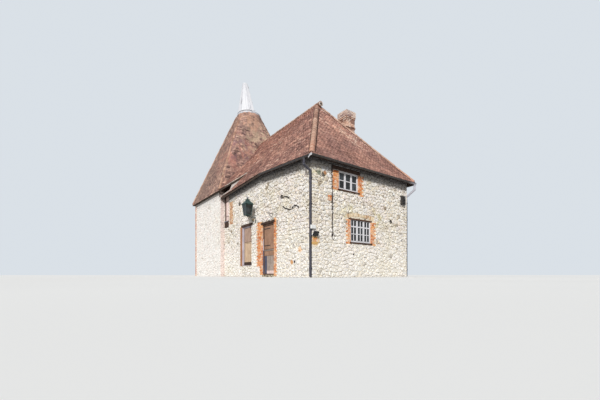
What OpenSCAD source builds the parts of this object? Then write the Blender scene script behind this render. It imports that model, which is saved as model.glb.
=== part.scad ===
/* [Main block] */
// Length of the main block along the front
main_len = 8360; // [7600:10:9200]
// Width of the main block across its hipped end
main_w = 5740; // [5400:10:6200]
// Thickness of the stone walls
wall_t = 450; // [380:10:500]

/* [Kiln] */
// Width of the kiln along the front
kiln_w = 4650; // [4400:10:5000]
// How far the kiln stands forward of the main front
kiln_step = 250; // [200:10:320]
// Height of the kiln eaves
kiln_eave_z = 4970; // [4960:5:5000]
// Height of the open top of the kiln roof
kiln_top_z = 11100; // [10800:10:11400]
// Radius of the round top of the kiln roof
kiln_top_r = 800; // [760:5:850]
// How far the kiln's eaves reach past its far wall
kiln_far_overhang = 70; // [60:5:90]
// How far the kiln's eaves reach past its front and rear walls
kiln_overhang = 180; // [160:5:200]

/* [Main roof] */
// Height of the eaves at the hipped end and the rear
eave_z = 4505; // [4500:1:4515]
// Height of the ridge
ridge_z = 8770; // [8700:5:8850]
// How far the ridge end stands back from the end wall
hip_run = 3280; // [3200:10:3350]
// How far the eaves reach past the walls
overhang = 250; // [230:5:260]
// Height of the front eaves at the near corner
corner_eave_z = 4485; // [4480:1:4495]
// Height of the crown of the bowed front eaves
crown_eave_z = 4790; // [4780:1:4800]
// Height of the front eaves beside the kiln
kiln_side_eave_z = 4610; // [4600:1:4630]
// Upright thickness of the roof slopes
roof_t = 130; // [110:5:140]

/* [Cowl] */
// Height of the cowl
cowl_h = 2200; // [2150:10:2300]
// Radius of the foot of the cowl
cowl_r = 800; // [780:5:820]
// Radius of the tip of the cowl
cowl_tip_r = 160; // [140:5:180]
// How far the tip leans back from the spindle
cowl_lean = 280; // [240:5:300]
// Bearing of the open side, in degrees from the long axis
cowl_bearing = 64; // [60:1:70]

/* [Doors] */
// Width of the left doorway
left_door_w = 1080; // [1000:10:1120]
// Width of the right doorway
right_door_w = 1070; // [1020:10:1120]
// Height of the left door sill, up the slope of the ground
left_sill_z = 560; // [540:5:600]
// Height of the right door sill
right_sill_z = 100; // [90:5:120]

/* [Chimney] */
// Side of the chimney stack
stack_w = 590; // [560:10:620]
// Height of the top of the chimney
stack_top_z = 8600; // [8550:10:8650]

/* [Hidden] */

// The origin is under the middle of the main block, on the underside of its floor
x_end = main_len / 2;
x_kiln = -main_len / 2;
x_far = x_kiln - kiln_w;
y_front = -main_w / 2;
y_rear = main_w / 2;
y_kiln = y_front - kiln_step;
kiln_x = x_kiln - kiln_w / 2;
kiln_y = (y_kiln + y_rear) / 2;
kiln_near_reach = 220;
kiln_a = (kiln_w + kiln_far_overhang + kiln_near_reach) / 2;
kiln_b = (y_rear - y_kiln) / 2 + kiln_overhang;
kiln_off = (kiln_near_reach - kiln_far_overhang) / 2;
x_ridge = x_end - hip_run;
x_crown = 480;
x_ridge_far = x_kiln - 1020;
kiln_wall_z = kiln_eave_z + 140;
kiln_inner_wall_z = kiln_eave_z + 270;
kiln_shell = 120;
hip_angle = 70;
floor_t = 100;
upper_floor_z = 2760;
raised_x = -450;
curb_h = 120;
cowl_z = kiln_top_z + curb_h + 60;
cowl_skin = 32;

// Height of the front eave line at x
function eave(x) = x > x_crown
  ? crown_eave_z + (corner_eave_z - crown_eave_z) * (x - x_crown) / (x_end + overhang - x_crown)
  : crown_eave_z + (kiln_side_eave_z - crown_eave_z) * (x_crown - x) / (x_crown - x_kiln);

// The walls stop just under the slopes
front_rise = overhang * (ridge_z - crown_eave_z) / (main_w / 2 + overhang) - roof_t - 2;
function wall_top(x) = eave(x) + front_rise;
end_wall_z = corner_eave_z + 170;
rear_wall_z = eave_z + 208;

// Corners of the roof slopes
roof_corner = [x_end + overhang, y_front - overhang, corner_eave_z];
roof_crown = [x_crown, y_front - overhang, crown_eave_z];
roof_foot = [x_kiln, y_front - overhang, kiln_side_eave_z];
roof_rear_corner = [x_end + overhang, y_rear + overhang, eave_z];
roof_rear_foot = [x_kiln, y_rear + overhang, eave_z];
ridge_near = [x_ridge, 0, ridge_z];
ridge_far = [x_ridge_far, 0, ridge_z];

left_door_x = -1800;
left_door_head = 2600;
right_door_x = 340;
right_door_head = 2450;
left_split_z = 1780;
right_split_z = 1270;

hatch_x = -4100;
hatch_w = 570;
hatch_z = 3170;
hatch_head = 4680;

// Windows of the end wall: [y, z, width, height]
upper_window = [-1560, 3500, 1110, 750];
lower_window = [-900, 1440, 1230, 980];
// Windows of the rear wall: [x, z, width, height]
rear_windows = [[500, 3500, 1110, 750], [500, 1440, 1230, 980]];
window_bar = 50;
window_depth = 80;
window_set = 30;
glass_t = 6;

// Solid with three top corners and upright sides
module prism(a, b, c, t) {
  drop = [0, 0, t];
  hull() polyhedron([a, b, c, a - drop, b - drop, c - drop],
    [[0, 1, 2], [5, 4, 3], [0, 3, 4, 1], [1, 4, 5, 2], [2, 5, 3, 0]]);
}

// Part of the front wall from x0 to x1, up to the roof
module front_panel(x0, x1, z0) {
  tops = (x0 < x_crown && x1 > x_crown)
    ? [[x1, wall_top(x1)], [x_crown, wall_top(x_crown)], [x0, wall_top(x0)]]
    : [[x1, wall_top(x1)], [x0, wall_top(x0)]];
  translate([0, y_front + wall_t, 0]) rotate([90, 0, 0])
    linear_extrude(wall_t) polygon(concat([[x0, z0], [x1, z0]], tops));
}

// Round bar from p to q
module rod(p, q, r, fn = 24) {
  v = q - p;
  len = norm(v);
  translate(p) rotate([0, acos(v[2] / len), atan2(v[1], v[0])]) cylinder(r = r, h = len, $fn = fn);
}

// Space held by the kiln roof, from its eaves to its round top
module kiln_roof_space(inset = 0, extra = 0) {
  translate([kiln_x, kiln_y, 0]) hull() {
    translate([kiln_off - kiln_a + inset, -kiln_b + inset, kiln_eave_z - extra])
      cube([2 * (kiln_a - inset), 2 * (kiln_b - inset), 1]);
    translate([0, 0, kiln_top_z - 1 + extra])
      cylinder(r = kiln_top_r - inset, h = 1, $fn = 48);
  }
}

module slopes_front(t) {
  prism(roof_corner, roof_crown, ridge_near, t);
  prism(roof_crown, roof_foot, ridge_far, t);
  prism(roof_crown, ridge_far, ridge_near, t);
}

module slopes_rear(t) {
  prism(roof_rear_corner, ridge_near, ridge_far, t);
  prism(roof_rear_corner, ridge_far, roof_rear_foot, t);
}

module kiln_block() {
  translate([x_kiln - 1500, y_kiln - 500, 0]) cube([1500, main_w + 1500, kiln_eave_z + 1]);
}

module front_wall_left() {
  color("ivory") difference() {
    front_panel(x_kiln, left_door_x, 0);
    translate([hatch_x, y_front - 10, hatch_z]) cube([hatch_w, wall_t + 20, hatch_head - hatch_z]);
  }
}

module front_wall_over_left_door() {
  color("ivory") front_panel(left_door_x, left_door_x + left_door_w, left_door_head);
}

module front_wall_between_doors() {
  color("ivory") front_panel(left_door_x + left_door_w, right_door_x, 0);
}

module front_wall_over_right_door() {
  color("ivory") front_panel(right_door_x, right_door_x + right_door_w, right_door_head);
}

module front_wall_right() {
  color("ivory") front_panel(right_door_x + right_door_w, x_end - wall_t, 0);
}

module end_wall() {
  color("ivory") difference() {
    translate([x_end - wall_t, y_front, 0]) cube([wall_t, main_w, end_wall_z]);
    for (w = [upper_window, lower_window])
      translate([x_end - wall_t - 10, w[0], w[1]]) cube([wall_t + 20, w[2], w[3]]);
    for (w = [upper_window, lower_window]) on_end(w) window_sill(w);
  }
}

module rear_wall() {
  color("ivory") difference() {
    translate([x_kiln, y_rear - wall_t, 0]) cube([main_len - wall_t, wall_t, rear_wall_z]);
    for (w = rear_windows)
      translate([w[0], y_rear - wall_t - 10, w[1]]) cube([w[2], wall_t + 20, w[3]]);
    for (w = rear_windows) on_rear(w) window_sill(w);
  }
}

// Kiln wall with its far outer edge cut down to carry the eaves
module kiln_wall(y, width, depth) {
  color("ivory") {
    translate([x_far, y, 0]) cube([width, depth, kiln_eave_z]);
    translate([x_far + 230, y, kiln_eave_z - 1])
      cube([width - 230, depth, kiln_wall_z - kiln_eave_z + 1]);
  }
}

module kiln_front_wall() {
  kiln_wall(y_kiln, kiln_w, wall_t);
}

module kiln_left_wall() {
  kiln_wall(y_kiln + wall_t, wall_t, y_rear - y_kiln - 2 * wall_t);
}

module kiln_rear_wall() {
  kiln_wall(y_rear - wall_t, kiln_w, wall_t);
}

module kiln_inner_wall() {
  color("ivory") translate([x_kiln - wall_t, y_kiln + wall_t, 0])
    cube([wall_t, y_rear - y_kiln - 2 * wall_t, kiln_inner_wall_z]);
}

module ground_floor() {
  color("gray") {
    translate([x_kiln, y_front + wall_t, 0])
      cube([main_len - wall_t, main_w - 2 * wall_t, floor_t]);
    translate([right_door_x, y_front, 0]) cube([right_door_w, wall_t, right_sill_z]);
    translate([x_kiln, y_front + wall_t, 0])
      cube([raised_x - x_kiln, main_w - 2 * wall_t, left_sill_z]);
    translate([left_door_x, y_front, 0]) cube([left_door_w, wall_t, left_sill_z]);
  }
}

module kiln_floor() {
  color("gray") translate([x_far + wall_t, y_kiln + wall_t, 0])
    cube([kiln_w - 2 * wall_t, y_rear - y_kiln - 2 * wall_t, left_sill_z]);
}

module upper_floor() {
  color("peru") translate([x_kiln, y_front + wall_t, upper_floor_z])
    cube([main_len - wall_t, main_w - 2 * wall_t, floor_t]);
}

module roof_front() {
  color("rosybrown") difference() {
    slopes_front(roof_t);
    kiln_roof_space();
    kiln_block();
  }
}

module roof_end() {
  color("rosybrown") prism(roof_corner, roof_rear_corner, ridge_near, roof_t);
}

module roof_rear() {
  color("rosybrown") difference() {
    slopes_rear(roof_t);
    kiln_roof_space();
    kiln_block();
  }
}

module all_slopes(t) {
  slopes_front(t);
  slopes_rear(t);
  prism(roof_corner, roof_rear_corner, ridge_near, t);
}

module ridge_tiles() {
  color("indianred") difference() {
    rod([x_ridge_far, 0, ridge_z - 45], [x_ridge + 300, 0, ridge_z - 45], 110);
    all_slopes(600);
    kiln_roof_space();
  }
}

// The hip tiles are bedded a little into the slopes
hip_bed = [0, 0, 45];
module hip_tiles() {
  color("indianred") for (c = [roof_corner, roof_rear_corner]) difference() {
    rod(c + 0.03 * (ridge_near - c) - hip_bed, c + 0.955 * (ridge_near - c) - hip_bed, 95);
    all_slopes(600);
  }
}

// Flat triangle of tiles that sweeps the kiln corner onto the front slope
skirt_low = [x_kiln + kiln_near_reach + 10, y_kiln - kiln_overhang - 10, kiln_eave_z + 20];
skirt_right = [x_end - 6060, y_front + 430, 5640];
skirt_top = [x_end - 8710, y_front + 1830, 7440];

module valley_skirt() {
  color("rosybrown") difference() {
    prism(skirt_low, skirt_right, skirt_top, 110);
    slopes_front(900);
    kiln_roof_space();
    kiln_hip_rods();
  }
}

// The whole kiln roof: a shell that blends from square eaves to a round top, with its soffit
module kiln_roof_shell() {
  difference() {
    kiln_roof_space();
    kiln_roof_space(kiln_shell, 2);
  }
  difference() {
    translate([kiln_x + kiln_off - kiln_a + kiln_shell, kiln_y - kiln_b + kiln_shell, kiln_eave_z])
      cube([2 * (kiln_a - kiln_shell), 2 * (kiln_b - kiln_shell), 40]);
    translate([x_far, y_kiln, kiln_eave_z - 10]) cube([kiln_w, y_rear - y_kiln, 60]);
  }
}

// The hips run straight from the corners to these points of the round top
hip_top = [kiln_top_r * cos(hip_angle), kiln_top_r * sin(hip_angle)];
function hip_head(sx, sy) = [sx * hip_top[0], sy * hip_top[1]];
function hip_foot(sx, sy) = [kiln_off + sx * kiln_a, sy * kiln_b];
function hip_past(sx, sy) = hip_foot(sx, sy) + 0.2 * (hip_foot(sx, sy) - hip_head(sx, sy));

module kiln_wedge(plan) {
  translate([kiln_x, kiln_y, kiln_eave_z - 100]) linear_extrude(kiln_top_z - kiln_eave_z + 200)
    polygon(plan);
}

module kiln_slope_ends(side) {
  color("rosybrown") intersection() {
    kiln_roof_shell();
    kiln_wedge([[0, 0], hip_head(1, side), hip_past(1, side), hip_past(-1, side), hip_head(-1, side)]);
  }
}

module kiln_slope_sides(side) {
  color("rosybrown") intersection() {
    kiln_roof_shell();
    kiln_wedge([[0, 0], hip_head(side, 1), hip_past(side, 1), hip_past(side, -1), hip_head(side, -1)]);
  }
}

module kiln_slope_front() {
  kiln_slope_ends(-1);
}

module kiln_slope_rear() {
  kiln_slope_ends(1);
}

module kiln_slope_right() {
  kiln_slope_sides(1);
}

module kiln_slope_left() {
  kiln_slope_sides(-1);
}

module kiln_hip_rods() {
  for (sx = [-1, 1], sy = [-1, 1])
    let (centre = [kiln_x, kiln_y, 0],
      foot = centre + [hip_foot(sx, sy)[0], hip_foot(sx, sy)[1], kiln_eave_z - 20],
      head = centre + [hip_head(sx, sy)[0], hip_head(sx, sy)[1], kiln_top_z - 20])
    rod(foot + 0.015 * (head - foot), foot + 0.985 * (head - foot), 80);
}

module kiln_hip_tiles() {
  color("indianred") difference() {
    kiln_hip_rods();
    kiln_roof_space();
    slopes_front(900);
    slopes_rear(900);
    kiln_block();
  }
}

module cowl_curb() {
  color("white") translate([kiln_x, kiln_y, kiln_top_z]) difference() {
    cylinder(r = kiln_top_r + 15, h = curb_h, $fn = 64);
    translate([0, 0, -1]) cylinder(r = kiln_top_r - 100, h = curb_h + 2, $fn = 64);
  }
}

beam_z = kiln_top_z - 260;
spindle_r = 35;

module cowl_beam() {
  color("saddlebrown") difference() {
    intersection() {
      translate([kiln_x - 75, kiln_y - 1500, beam_z]) cube([150, 3000, 160]);
      kiln_roof_space(kiln_shell + 1);
    }
    translate([kiln_x, kiln_y, beam_z - 1]) cylinder(r = spindle_r + 5, h = 170, $fn = 48);
  }
}

// Shape of the cowl, a leaning cone
module cowl_cone(inset, drop) {
  hull() {
    translate([0, 0, cowl_z - drop]) cylinder(r = cowl_r - inset, h = 1, $fn = 64);
    translate([-cowl_lean, 0, cowl_z + cowl_h - 1 - 2 * inset])
      cylinder(r = cowl_tip_r - inset, h = 1, $fn = 32);
  }
}

module cowl_cut() {
  rotate([90, 0, 0]) translate([0, 0, -1500]) linear_extrude(3000)
    polygon([[480, cowl_z - 10], [-90, cowl_z + 1940], [1500, cowl_z + 1940], [1500, cowl_z - 10]]);
}

module cowl() {
  color("white") translate([kiln_x, kiln_y, 0]) rotate([0, 0, cowl_bearing]) difference() {
    cowl_cone(0, 0);
    cowl_cone(cowl_skin, 5);
    cowl_cut();
  }
}

module cowl_spindle() {
  color("whitesmoke") translate([kiln_x, kiln_y, 0]) rotate([0, 0, cowl_bearing]) {
    translate([0, 0, beam_z - 60]) cylinder(r = spindle_r, h = cowl_z + 1500 - beam_z, $fn = 48);
    intersection() {
      cowl_cone(cowl_skin + 1, 5);
      union() {
        translate([-1000, -40, cowl_z + 40]) cube([1440, 80, 90]);
        translate([-40, -1000, cowl_z + 40]) cube([80, 2000, 90]);
        translate([-1000, -35, cowl_z + 1350]) cube([1000, 70, 70]);
      }
    }
  }
}

stack_x = x_end - 2600;
stack_y = y_front + 4300;

module stack_course(w, z0, z1) {
  translate([stack_x - w / 2, stack_y - w / 2, z0]) cube([w, w, z1 - z0]);
}

cap_z = stack_top_z - 500;
band_z = stack_top_z - 970;

module chimney_stack() {
  color("sandybrown") difference() {
    union() {
      stack_course(stack_w, 5800, cap_z);
      stack_course(stack_w + 50, band_z, band_z + 75);
    }
    slopes_rear(3000);
  }
}

module chimney_cap() {
  color("tan") {
    stack_course(stack_w + 40, cap_z, cap_z + 75);
    stack_course(stack_w + 80, cap_z + 75, cap_z + 375);
    translate([stack_x, stack_y, cap_z + 375]) hull() {
      translate([-stack_w / 2 - 20, -stack_w / 2 - 20, 0]) cube([stack_w + 40, stack_w + 40, 20]);
      translate([-120, -120, 115]) cube([240, 240, 10]);
    }
  }
}

gutter_r = 58;
gutter_skin = 6;
gutter_drop = 62;
pipe_r = 48;
front_pipe_x = x_end - 120;
rear_pipe_y = y_rear + 190;

// Half-round gutter from p to q
module gutter(p, q) {
  v = q - p;
  translate(p) rotate([0, -asin(v[2] / norm(v)), atan2(v[1], v[0])]) rotate([90, 0, 90])
    linear_extrude(norm(v)) difference() {
      circle(r = gutter_r, $fn = 32);
      circle(r = gutter_r - gutter_skin, $fn = 32);
      translate([-gutter_r, 0]) square([2 * gutter_r, gutter_r]);
    }
}

gutter_out = overhang + gutter_r;

// Short outlet under a gutter, its top at the gutter's middle line
module gutter_outlet(x, y, z) {
  translate([x, y, z - gutter_r - 40]) cylinder(r = pipe_r + 7, h = 52, $fn = 32);
}

module gutters() {
  color("dimgray") {
    gutter_outlet(front_pipe_x, y_front - gutter_out, eave(front_pipe_x) - gutter_drop);
    gutter_outlet(x_end + gutter_out, rear_pipe_y, eave_z - gutter_drop);
    gutter([x_end + overhang, y_front - gutter_out, corner_eave_z - gutter_drop],
      [600, y_front - gutter_out, eave(600) - gutter_drop]);
    gutter([x_end + gutter_out, y_front - gutter_out - gutter_r, eave_z - gutter_drop],
      [x_end + gutter_out, y_rear + overhang, eave_z - gutter_drop]);
    gutter([x_end + overhang - 130, y_rear + gutter_out, eave_z - gutter_drop],
      [x_kiln, y_rear + gutter_out, eave_z - gutter_drop]);
  }
}

module pipe_run(points) {
  for (i = [0 : len(points) - 2]) rod(points[i], points[i + 1], pipe_r, 32);
  for (i = [1 : len(points) - 2]) translate(points[i]) sphere(r = pipe_r + 5, $fn = 32);
}

pipe_off = 62;
module downpipes() {
  front_top = eave(front_pipe_x) - gutter_drop - gutter_r - 40;
  rear_top = eave_z - gutter_drop - gutter_r - 40;
  color("dimgray") {
    pipe_run([[front_pipe_x, y_front - gutter_out, front_top],
      [front_pipe_x, y_front - gutter_out, front_top - 190],
      [x_end - 55, y_front - pipe_off, 3970],
      [x_end - 55, y_front - pipe_off, 30]]);
    pipe_run([[x_end + gutter_out, rear_pipe_y, rear_top],
      [x_end + gutter_out, rear_pipe_y, 4150],
      [x_end - 60, y_rear + pipe_off, 3840],
      [x_end - 60, y_rear + pipe_off, 30]]);
  }
}

hinge_in = 74;
hinge_back = 170;
hinge_end = 130;
knuckle_r = 9;
knuckle_h = 40;
pin_r = 5;
strap_len = 380;
frame_w = 70;
frame_set = 60;
frame_depth = 100;
leaf_t = 45;
leaf_gap = 8;
stop_w = 12;
leaf_back = frame_set + 45 + leaf_t - hinge_back;
frame_back = frame_set + frame_depth - hinge_back;
left_lower = [left_sill_z + 40 + leaf_gap, left_split_z];
left_upper = [left_split_z + leaf_gap, left_door_head - frame_w - leaf_gap];
right_lower = [right_sill_z + 40 + leaf_gap, right_split_z];
right_upper = [right_split_z + leaf_gap, right_door_head - frame_w - leaf_gap];

// Door frame for an opening w wide, from z0 to z1, with stops on its outer edge
module door_frame(x0, w, z0, z1) {
  translate([x0, y_front + frame_set, z0]) difference() {
    cube([w, frame_depth, z1 - z0]);
    translate([frame_w, 38, 40]) cube([w - 2 * frame_w, frame_depth, z1 - z0 - 40 - frame_w]);
    translate([frame_w + stop_w, -1, 40])
      cube([w - 2 * frame_w - 2 * stop_w, frame_depth, z1 - z0 - 40 - frame_w - stop_w]);
  }
}

// One leaf of a stable door, with the straps and knuckles of its two hinges
module door_leaf(x0, w, z0, z1) {
  translate([x0 + frame_w + leaf_gap, y_front + frame_set + 45, z0])
    cube([w - 2 * frame_w - 2 * leaf_gap, leaf_t, z1 - z0]);
  for (z = [z0 + hinge_end, z1 - hinge_end - knuckle_h]) translate([x0 + hinge_in, y_front + hinge_back, z]) {
    difference() {
      union() {
        cylinder(r = knuckle_r, h = knuckle_h, $fn = 32);
        translate([0, leaf_back, 0]) cube([knuckle_r, -leaf_back, knuckle_h]);
      }
      translate([0, 0, -1]) cylinder(r = pin_r + 0.5, h = knuckle_h + 2, $fn = 32);
    }
    translate([leaf_gap / 2, leaf_back, 0]) cube([strap_len, 6, knuckle_h]);
  }
}

// The two pins that a leaf hangs on, with their plates on the back of the door frame
module leaf_pins(x0, z0, z1) {
  for (z = [z0 + hinge_end, z1 - hinge_end - knuckle_h]) translate([x0 + hinge_in, y_front + hinge_back, z]) {
    translate([0, 0, -12]) cylinder(r = pin_r, h = knuckle_h + 10, $fn = 32);
    translate([-40, frame_back, -12]) cube([45, 14, 10]);
    translate([-60, frame_back, -40]) cube([36, 4, 90]);
  }
}

module left_door_frame() {
  color("lightgray") {
    door_frame(left_door_x, left_door_w, left_sill_z, left_door_head);
    for (leaf = [left_lower, left_upper]) leaf_pins(left_door_x, leaf[0], leaf[1]);
  }
}

module left_door_lower_leaf() {
  color("tan") door_leaf(left_door_x, left_door_w, left_lower[0], left_lower[1]);
}

module left_door_upper_leaf() {
  color("tan") door_leaf(left_door_x, left_door_w, left_upper[0], left_upper[1]);
}

module right_door_frame() {
  color("slategray") {
    door_frame(right_door_x, right_door_w, right_sill_z, right_door_head);
    for (leaf = [right_lower, right_upper]) leaf_pins(right_door_x, leaf[0], leaf[1]);
  }
}

// The lower leaf has a weather ledge along its top
module right_door_lower_leaf() {
  color("darkkhaki") {
    door_leaf(right_door_x, right_door_w, right_lower[0], right_lower[1]);
    translate([right_door_x + 94, y_front + frame_set + 10, right_lower[1] - 60])
      cube([right_door_w - 190, 35, 60]);
  }
}

module right_door_upper_leaf() {
  color("rosybrown") door_leaf(right_door_x, right_door_w, right_upper[0], right_upper[1]);
}

// Window frame drawn flat: width along X, height along Z, three lights.
// bars are the heights of the glazing bars; uprights adds one upright bar to each light
module window_frame(w, h, bars, uprights = false) {
  light = (w - 4 * window_bar) / 3;
  difference() {
    cube([w, window_depth, h]);
    for (i = [0 : 2])
      translate([window_bar + i * (light + window_bar), -1, window_bar])
        cube([light, window_depth + 2, h - 2 * window_bar]);
  }
  for (i = [0 : 2], b = bars)
    translate([window_bar + i * (light + window_bar), 20, h * b - 12])
      cube([light, 12, 24]);
  if (uprights) for (i = [0 : 2])
    translate([window_bar + (i + 0.5) * light + i * window_bar - 12, 20, window_bar])
      cube([24, 12, h - 2 * window_bar]);
}

// The glass stands behind the glazing bars in each light
module window_glass(w, h) {
  light = (w - 4 * window_bar) / 3;
  for (i = [0 : 2])
    translate([window_bar + i * (light + window_bar), 34, window_bar])
      cube([light, glass_t, h - 2 * window_bar]);
}

module on_end(w) {
  translate([x_end - window_set, w[0], w[1]]) rotate([0, 0, 90]) children();
}

module on_rear(w) {
  translate([w[0] + w[2], y_rear - window_set, w[1]]) rotate([0, 0, 180]) children();
}

// Sill under a window, let into the wall
module window_sill(w) {
  translate([-50, -window_set - 45, -50]) cube([w[2] + 100, window_set + 45, 50]);
}

module window_sills() {
  color("saddlebrown") {
    for (w = [upper_window, lower_window]) on_end(w) window_sill(w);
    for (w = rear_windows) on_rear(w) window_sill(w);
  }
}

module end_window_frames() {
  color("white") {
    on_end(upper_window) window_frame(upper_window[2], upper_window[3], [0.52]);
    on_end(lower_window) window_frame(lower_window[2], lower_window[3], [0.36, 0.68], true);
  }
}

module end_window_glass() {
  color([0.25, 0.28, 0.3, 0.4]) {
    on_end(upper_window) window_glass(upper_window[2], upper_window[3]);
    on_end(lower_window) window_glass(lower_window[2], lower_window[3]);
  }
}

module rear_window_frames() {
  color("white") {
    on_rear(rear_windows[0]) window_frame(rear_windows[0][2], rear_windows[0][3], [0.52]);
    on_rear(rear_windows[1]) window_frame(rear_windows[1][2], rear_windows[1][3], [0.36, 0.68], true);
  }
}

module rear_window_glass() {
  color([0.25, 0.28, 0.3, 0.4])
    for (w = rear_windows) on_rear(w) window_glass(w[2], w[3]);
}

hatch_frame_w = 45;
hatch_apron_h = 330;
module hatch_frame() {
  color("lightgray") {
    translate([hatch_x, y_front + 10, hatch_z]) difference() {
      cube([hatch_w, 90, hatch_head - hatch_z]);
      translate([hatch_frame_w, -1, hatch_frame_w])
        cube([hatch_w - 2 * hatch_frame_w, 92, hatch_head - hatch_z - 2 * hatch_frame_w]);
    }
    translate([hatch_x, y_front - 30, hatch_z - hatch_apron_h])
      cube([hatch_w, 30, hatch_apron_h]);
    translate([hatch_x, y_front - 60, hatch_z]) cube([hatch_w, 120, 35]);
  }
}

module hatch_boards() {
  color("mistyrose") translate([hatch_x + hatch_frame_w, y_front + 40, hatch_z + hatch_frame_w])
    cube([hatch_w - 2 * hatch_frame_w, 30, hatch_head - hatch_z - 2 * hatch_frame_w]);
}

lantern_x = x_end - 4450;
lantern_y = y_front - 450;
lantern_z = 2950;
module wall_lantern() {
  color("darkslategray") {
    translate([lantern_x, lantern_y, lantern_z]) {
      hull() {
        translate([-140, -140, 0]) cube([280, 280, 5]);
        translate([-200, -200, 500]) cube([400, 400, 5]);
      }
      hull() {
        translate([-230, -230, 505]) cube([460, 460, 20]);
        translate([-60, -60, 720]) cube([120, 120, 10]);
      }
      translate([0, 0, 730]) cylinder(r = 50, h = 70, $fn = 24);
      translate([0, 0, 840]) sphere(r = 55, $fn = 24);
      translate([0, 0, -90]) cylinder(r = 30, h = 90, $fn = 24);
    }
    translate([lantern_x - 15, lantern_y, lantern_z - 60]) cube([30, -lantern_y + y_front, 30]);
    translate([lantern_x - 50, y_front - 15, lantern_z - 330]) cube([100, 15, 420]);
    rod([lantern_x, lantern_y + 80, lantern_z - 60], [lantern_x, y_front - 10, lantern_z - 300], 12, 16);
  }
}

// Flat bar bent to an arc in the plane of the front wall
module iron_arc(x, z, r, a0, a1) {
  translate([x, y_front - 26, z]) rotate([-90, 0, 0]) rotate([0, 0, a0])
    rotate_extrude(angle = a1 - a0, $fn = 48) translate([r - 19, 0]) square([38, 16]);
}

module iron_pin(x, z) {
  translate([x, y_front - 26, z]) rotate([-90, 0, 0]) cylinder(r = 20, h = 26, $fn = 24);
}

iron_1x = x_end - 1850;
iron_2x = x_end - 1241;
iron_3x = x_end - 1100;
module wall_irons() {
  color("dimgray") {
    iron_arc(iron_1x - 225, 3415, 62, 40, 340);
    iron_pin(iron_1x - 287, 3415);
    iron_arc(iron_1x, 2942, 439, -109, -42);
    iron_pin(iron_1x, 3381);
    iron_pin(iron_1x + 270, 3288);
    iron_arc(iron_2x, 4059, 1300, 96.7, 124.4);
    iron_pin(iron_2x - 476, 2849);
    iron_pin(iron_2x - 239, 2781);
    iron_arc(iron_3x, 2561, 310, -132, -40);
    iron_pin(iron_3x, 2871);
    iron_pin(iron_3x + 170, 2820);
    translate([x_end - 2480, y_front - 12, 2180]) cylinder(r = 12, h = 710, $fn = 24);
    intersection() {
      union() {
        rod([x_end - 2800, y_front + 20, 2800], [x_end - 2800, y_front - 380, 2830], 11, 24);
        rod([x_end - 2800, y_front + 20, 2540], [x_end - 2800, y_front - 260, 2815], 9, 24);
      }
      translate([x_end - 3000, y_front - 600, 2400]) cube([400, 600, 600]);
    }
  }
}

module wall_lights() {
  color("black") {
    translate([x_end, y_front - 120, 1800]) cube([75, 230, 150]);
    translate([x_end, y_front + 40, 1630]) cube([60, 60, 80]);
    translate([x_end + 105, y_front + 70, 1630]) rotate([0, 35, 0]) cube([90, 210, 190], center = true);
    translate([x_end, y_front + 4640, 3740]) cube([90, 120, 110]);
  }
}

conduit_y = y_front + 950;
module wall_conduit() {
  color("gray") {
    rod([x_end + 14, conduit_y, 4380], [x_end + 14, conduit_y, 1700], 14, 24);
    translate([x_end, conduit_y - 35, 1600]) cube([40, 70, 100]);
  }
}

module louvre_box() {
  color("dimgray") translate([x_end, y_front + 5220, 3390]) difference() {
    cube([110, 290, 420]);
    for (i = [0 : 4]) translate([60, 30, 40 + i * 72]) cube([60, 230, 40]);
  }
}

front_wall_left();
front_wall_over_left_door();
front_wall_between_doors();
front_wall_over_right_door();
front_wall_right();
end_wall();
rear_wall();
kiln_front_wall();
kiln_left_wall();
kiln_rear_wall();
kiln_inner_wall();
ground_floor();
kiln_floor();
upper_floor();
roof_front();
roof_end();
roof_rear();
ridge_tiles();
hip_tiles();
valley_skirt();
kiln_slope_front();
kiln_slope_right();
kiln_slope_rear();
kiln_slope_left();
kiln_hip_tiles();
cowl_curb();
cowl_beam();
cowl_spindle();
cowl();
chimney_stack();
chimney_cap();
gutters();
downpipes();
left_door_frame();
left_door_lower_leaf();
left_door_upper_leaf();
right_door_frame();
right_door_lower_leaf();
right_door_upper_leaf();
end_window_frames();
end_window_glass();
rear_window_frames();
rear_window_glass();
window_sills();
hatch_frame();
hatch_boards();
wall_lantern();
wall_irons();
wall_lights();
wall_conduit();
louvre_box();
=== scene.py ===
import math
import random

import bpy
from mathutils import Matrix, Vector, noise
from mathutils.kdtree import KDTree


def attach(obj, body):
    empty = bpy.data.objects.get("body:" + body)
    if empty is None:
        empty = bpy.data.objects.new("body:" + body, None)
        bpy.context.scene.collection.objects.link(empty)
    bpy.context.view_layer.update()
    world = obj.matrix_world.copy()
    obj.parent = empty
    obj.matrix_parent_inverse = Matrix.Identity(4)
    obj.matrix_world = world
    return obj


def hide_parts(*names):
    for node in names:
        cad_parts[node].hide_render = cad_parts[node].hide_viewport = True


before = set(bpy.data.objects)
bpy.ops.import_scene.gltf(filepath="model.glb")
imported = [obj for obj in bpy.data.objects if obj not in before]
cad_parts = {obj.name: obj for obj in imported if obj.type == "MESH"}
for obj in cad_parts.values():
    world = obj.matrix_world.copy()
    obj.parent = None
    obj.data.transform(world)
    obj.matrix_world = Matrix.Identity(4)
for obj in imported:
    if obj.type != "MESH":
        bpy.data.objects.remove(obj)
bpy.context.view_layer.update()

# Places and sizes of the solids, in metres
UP = Vector((0, 0, 1))
X_END, X_KILN, X_FAR = 4.18, -4.18, -8.83  # faces of the end wall, the kiln's inner wall and its left wall
Y_FRONT, Y_REAR, Y_KILN = -2.87, 2.87, -3.12  # faces of the front wall, the rear wall and the kiln's front
CROWN_X = 0.48  # where the front eave is highest
CORNER = Vector((4.43, -3.12, 4.485))
CROWN = Vector((CROWN_X, -3.12, 4.79))
FOOT = Vector((-4.18, -3.12, 4.61))
REAR_CORNER = Vector((4.43, 3.12, 4.505))
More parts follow.
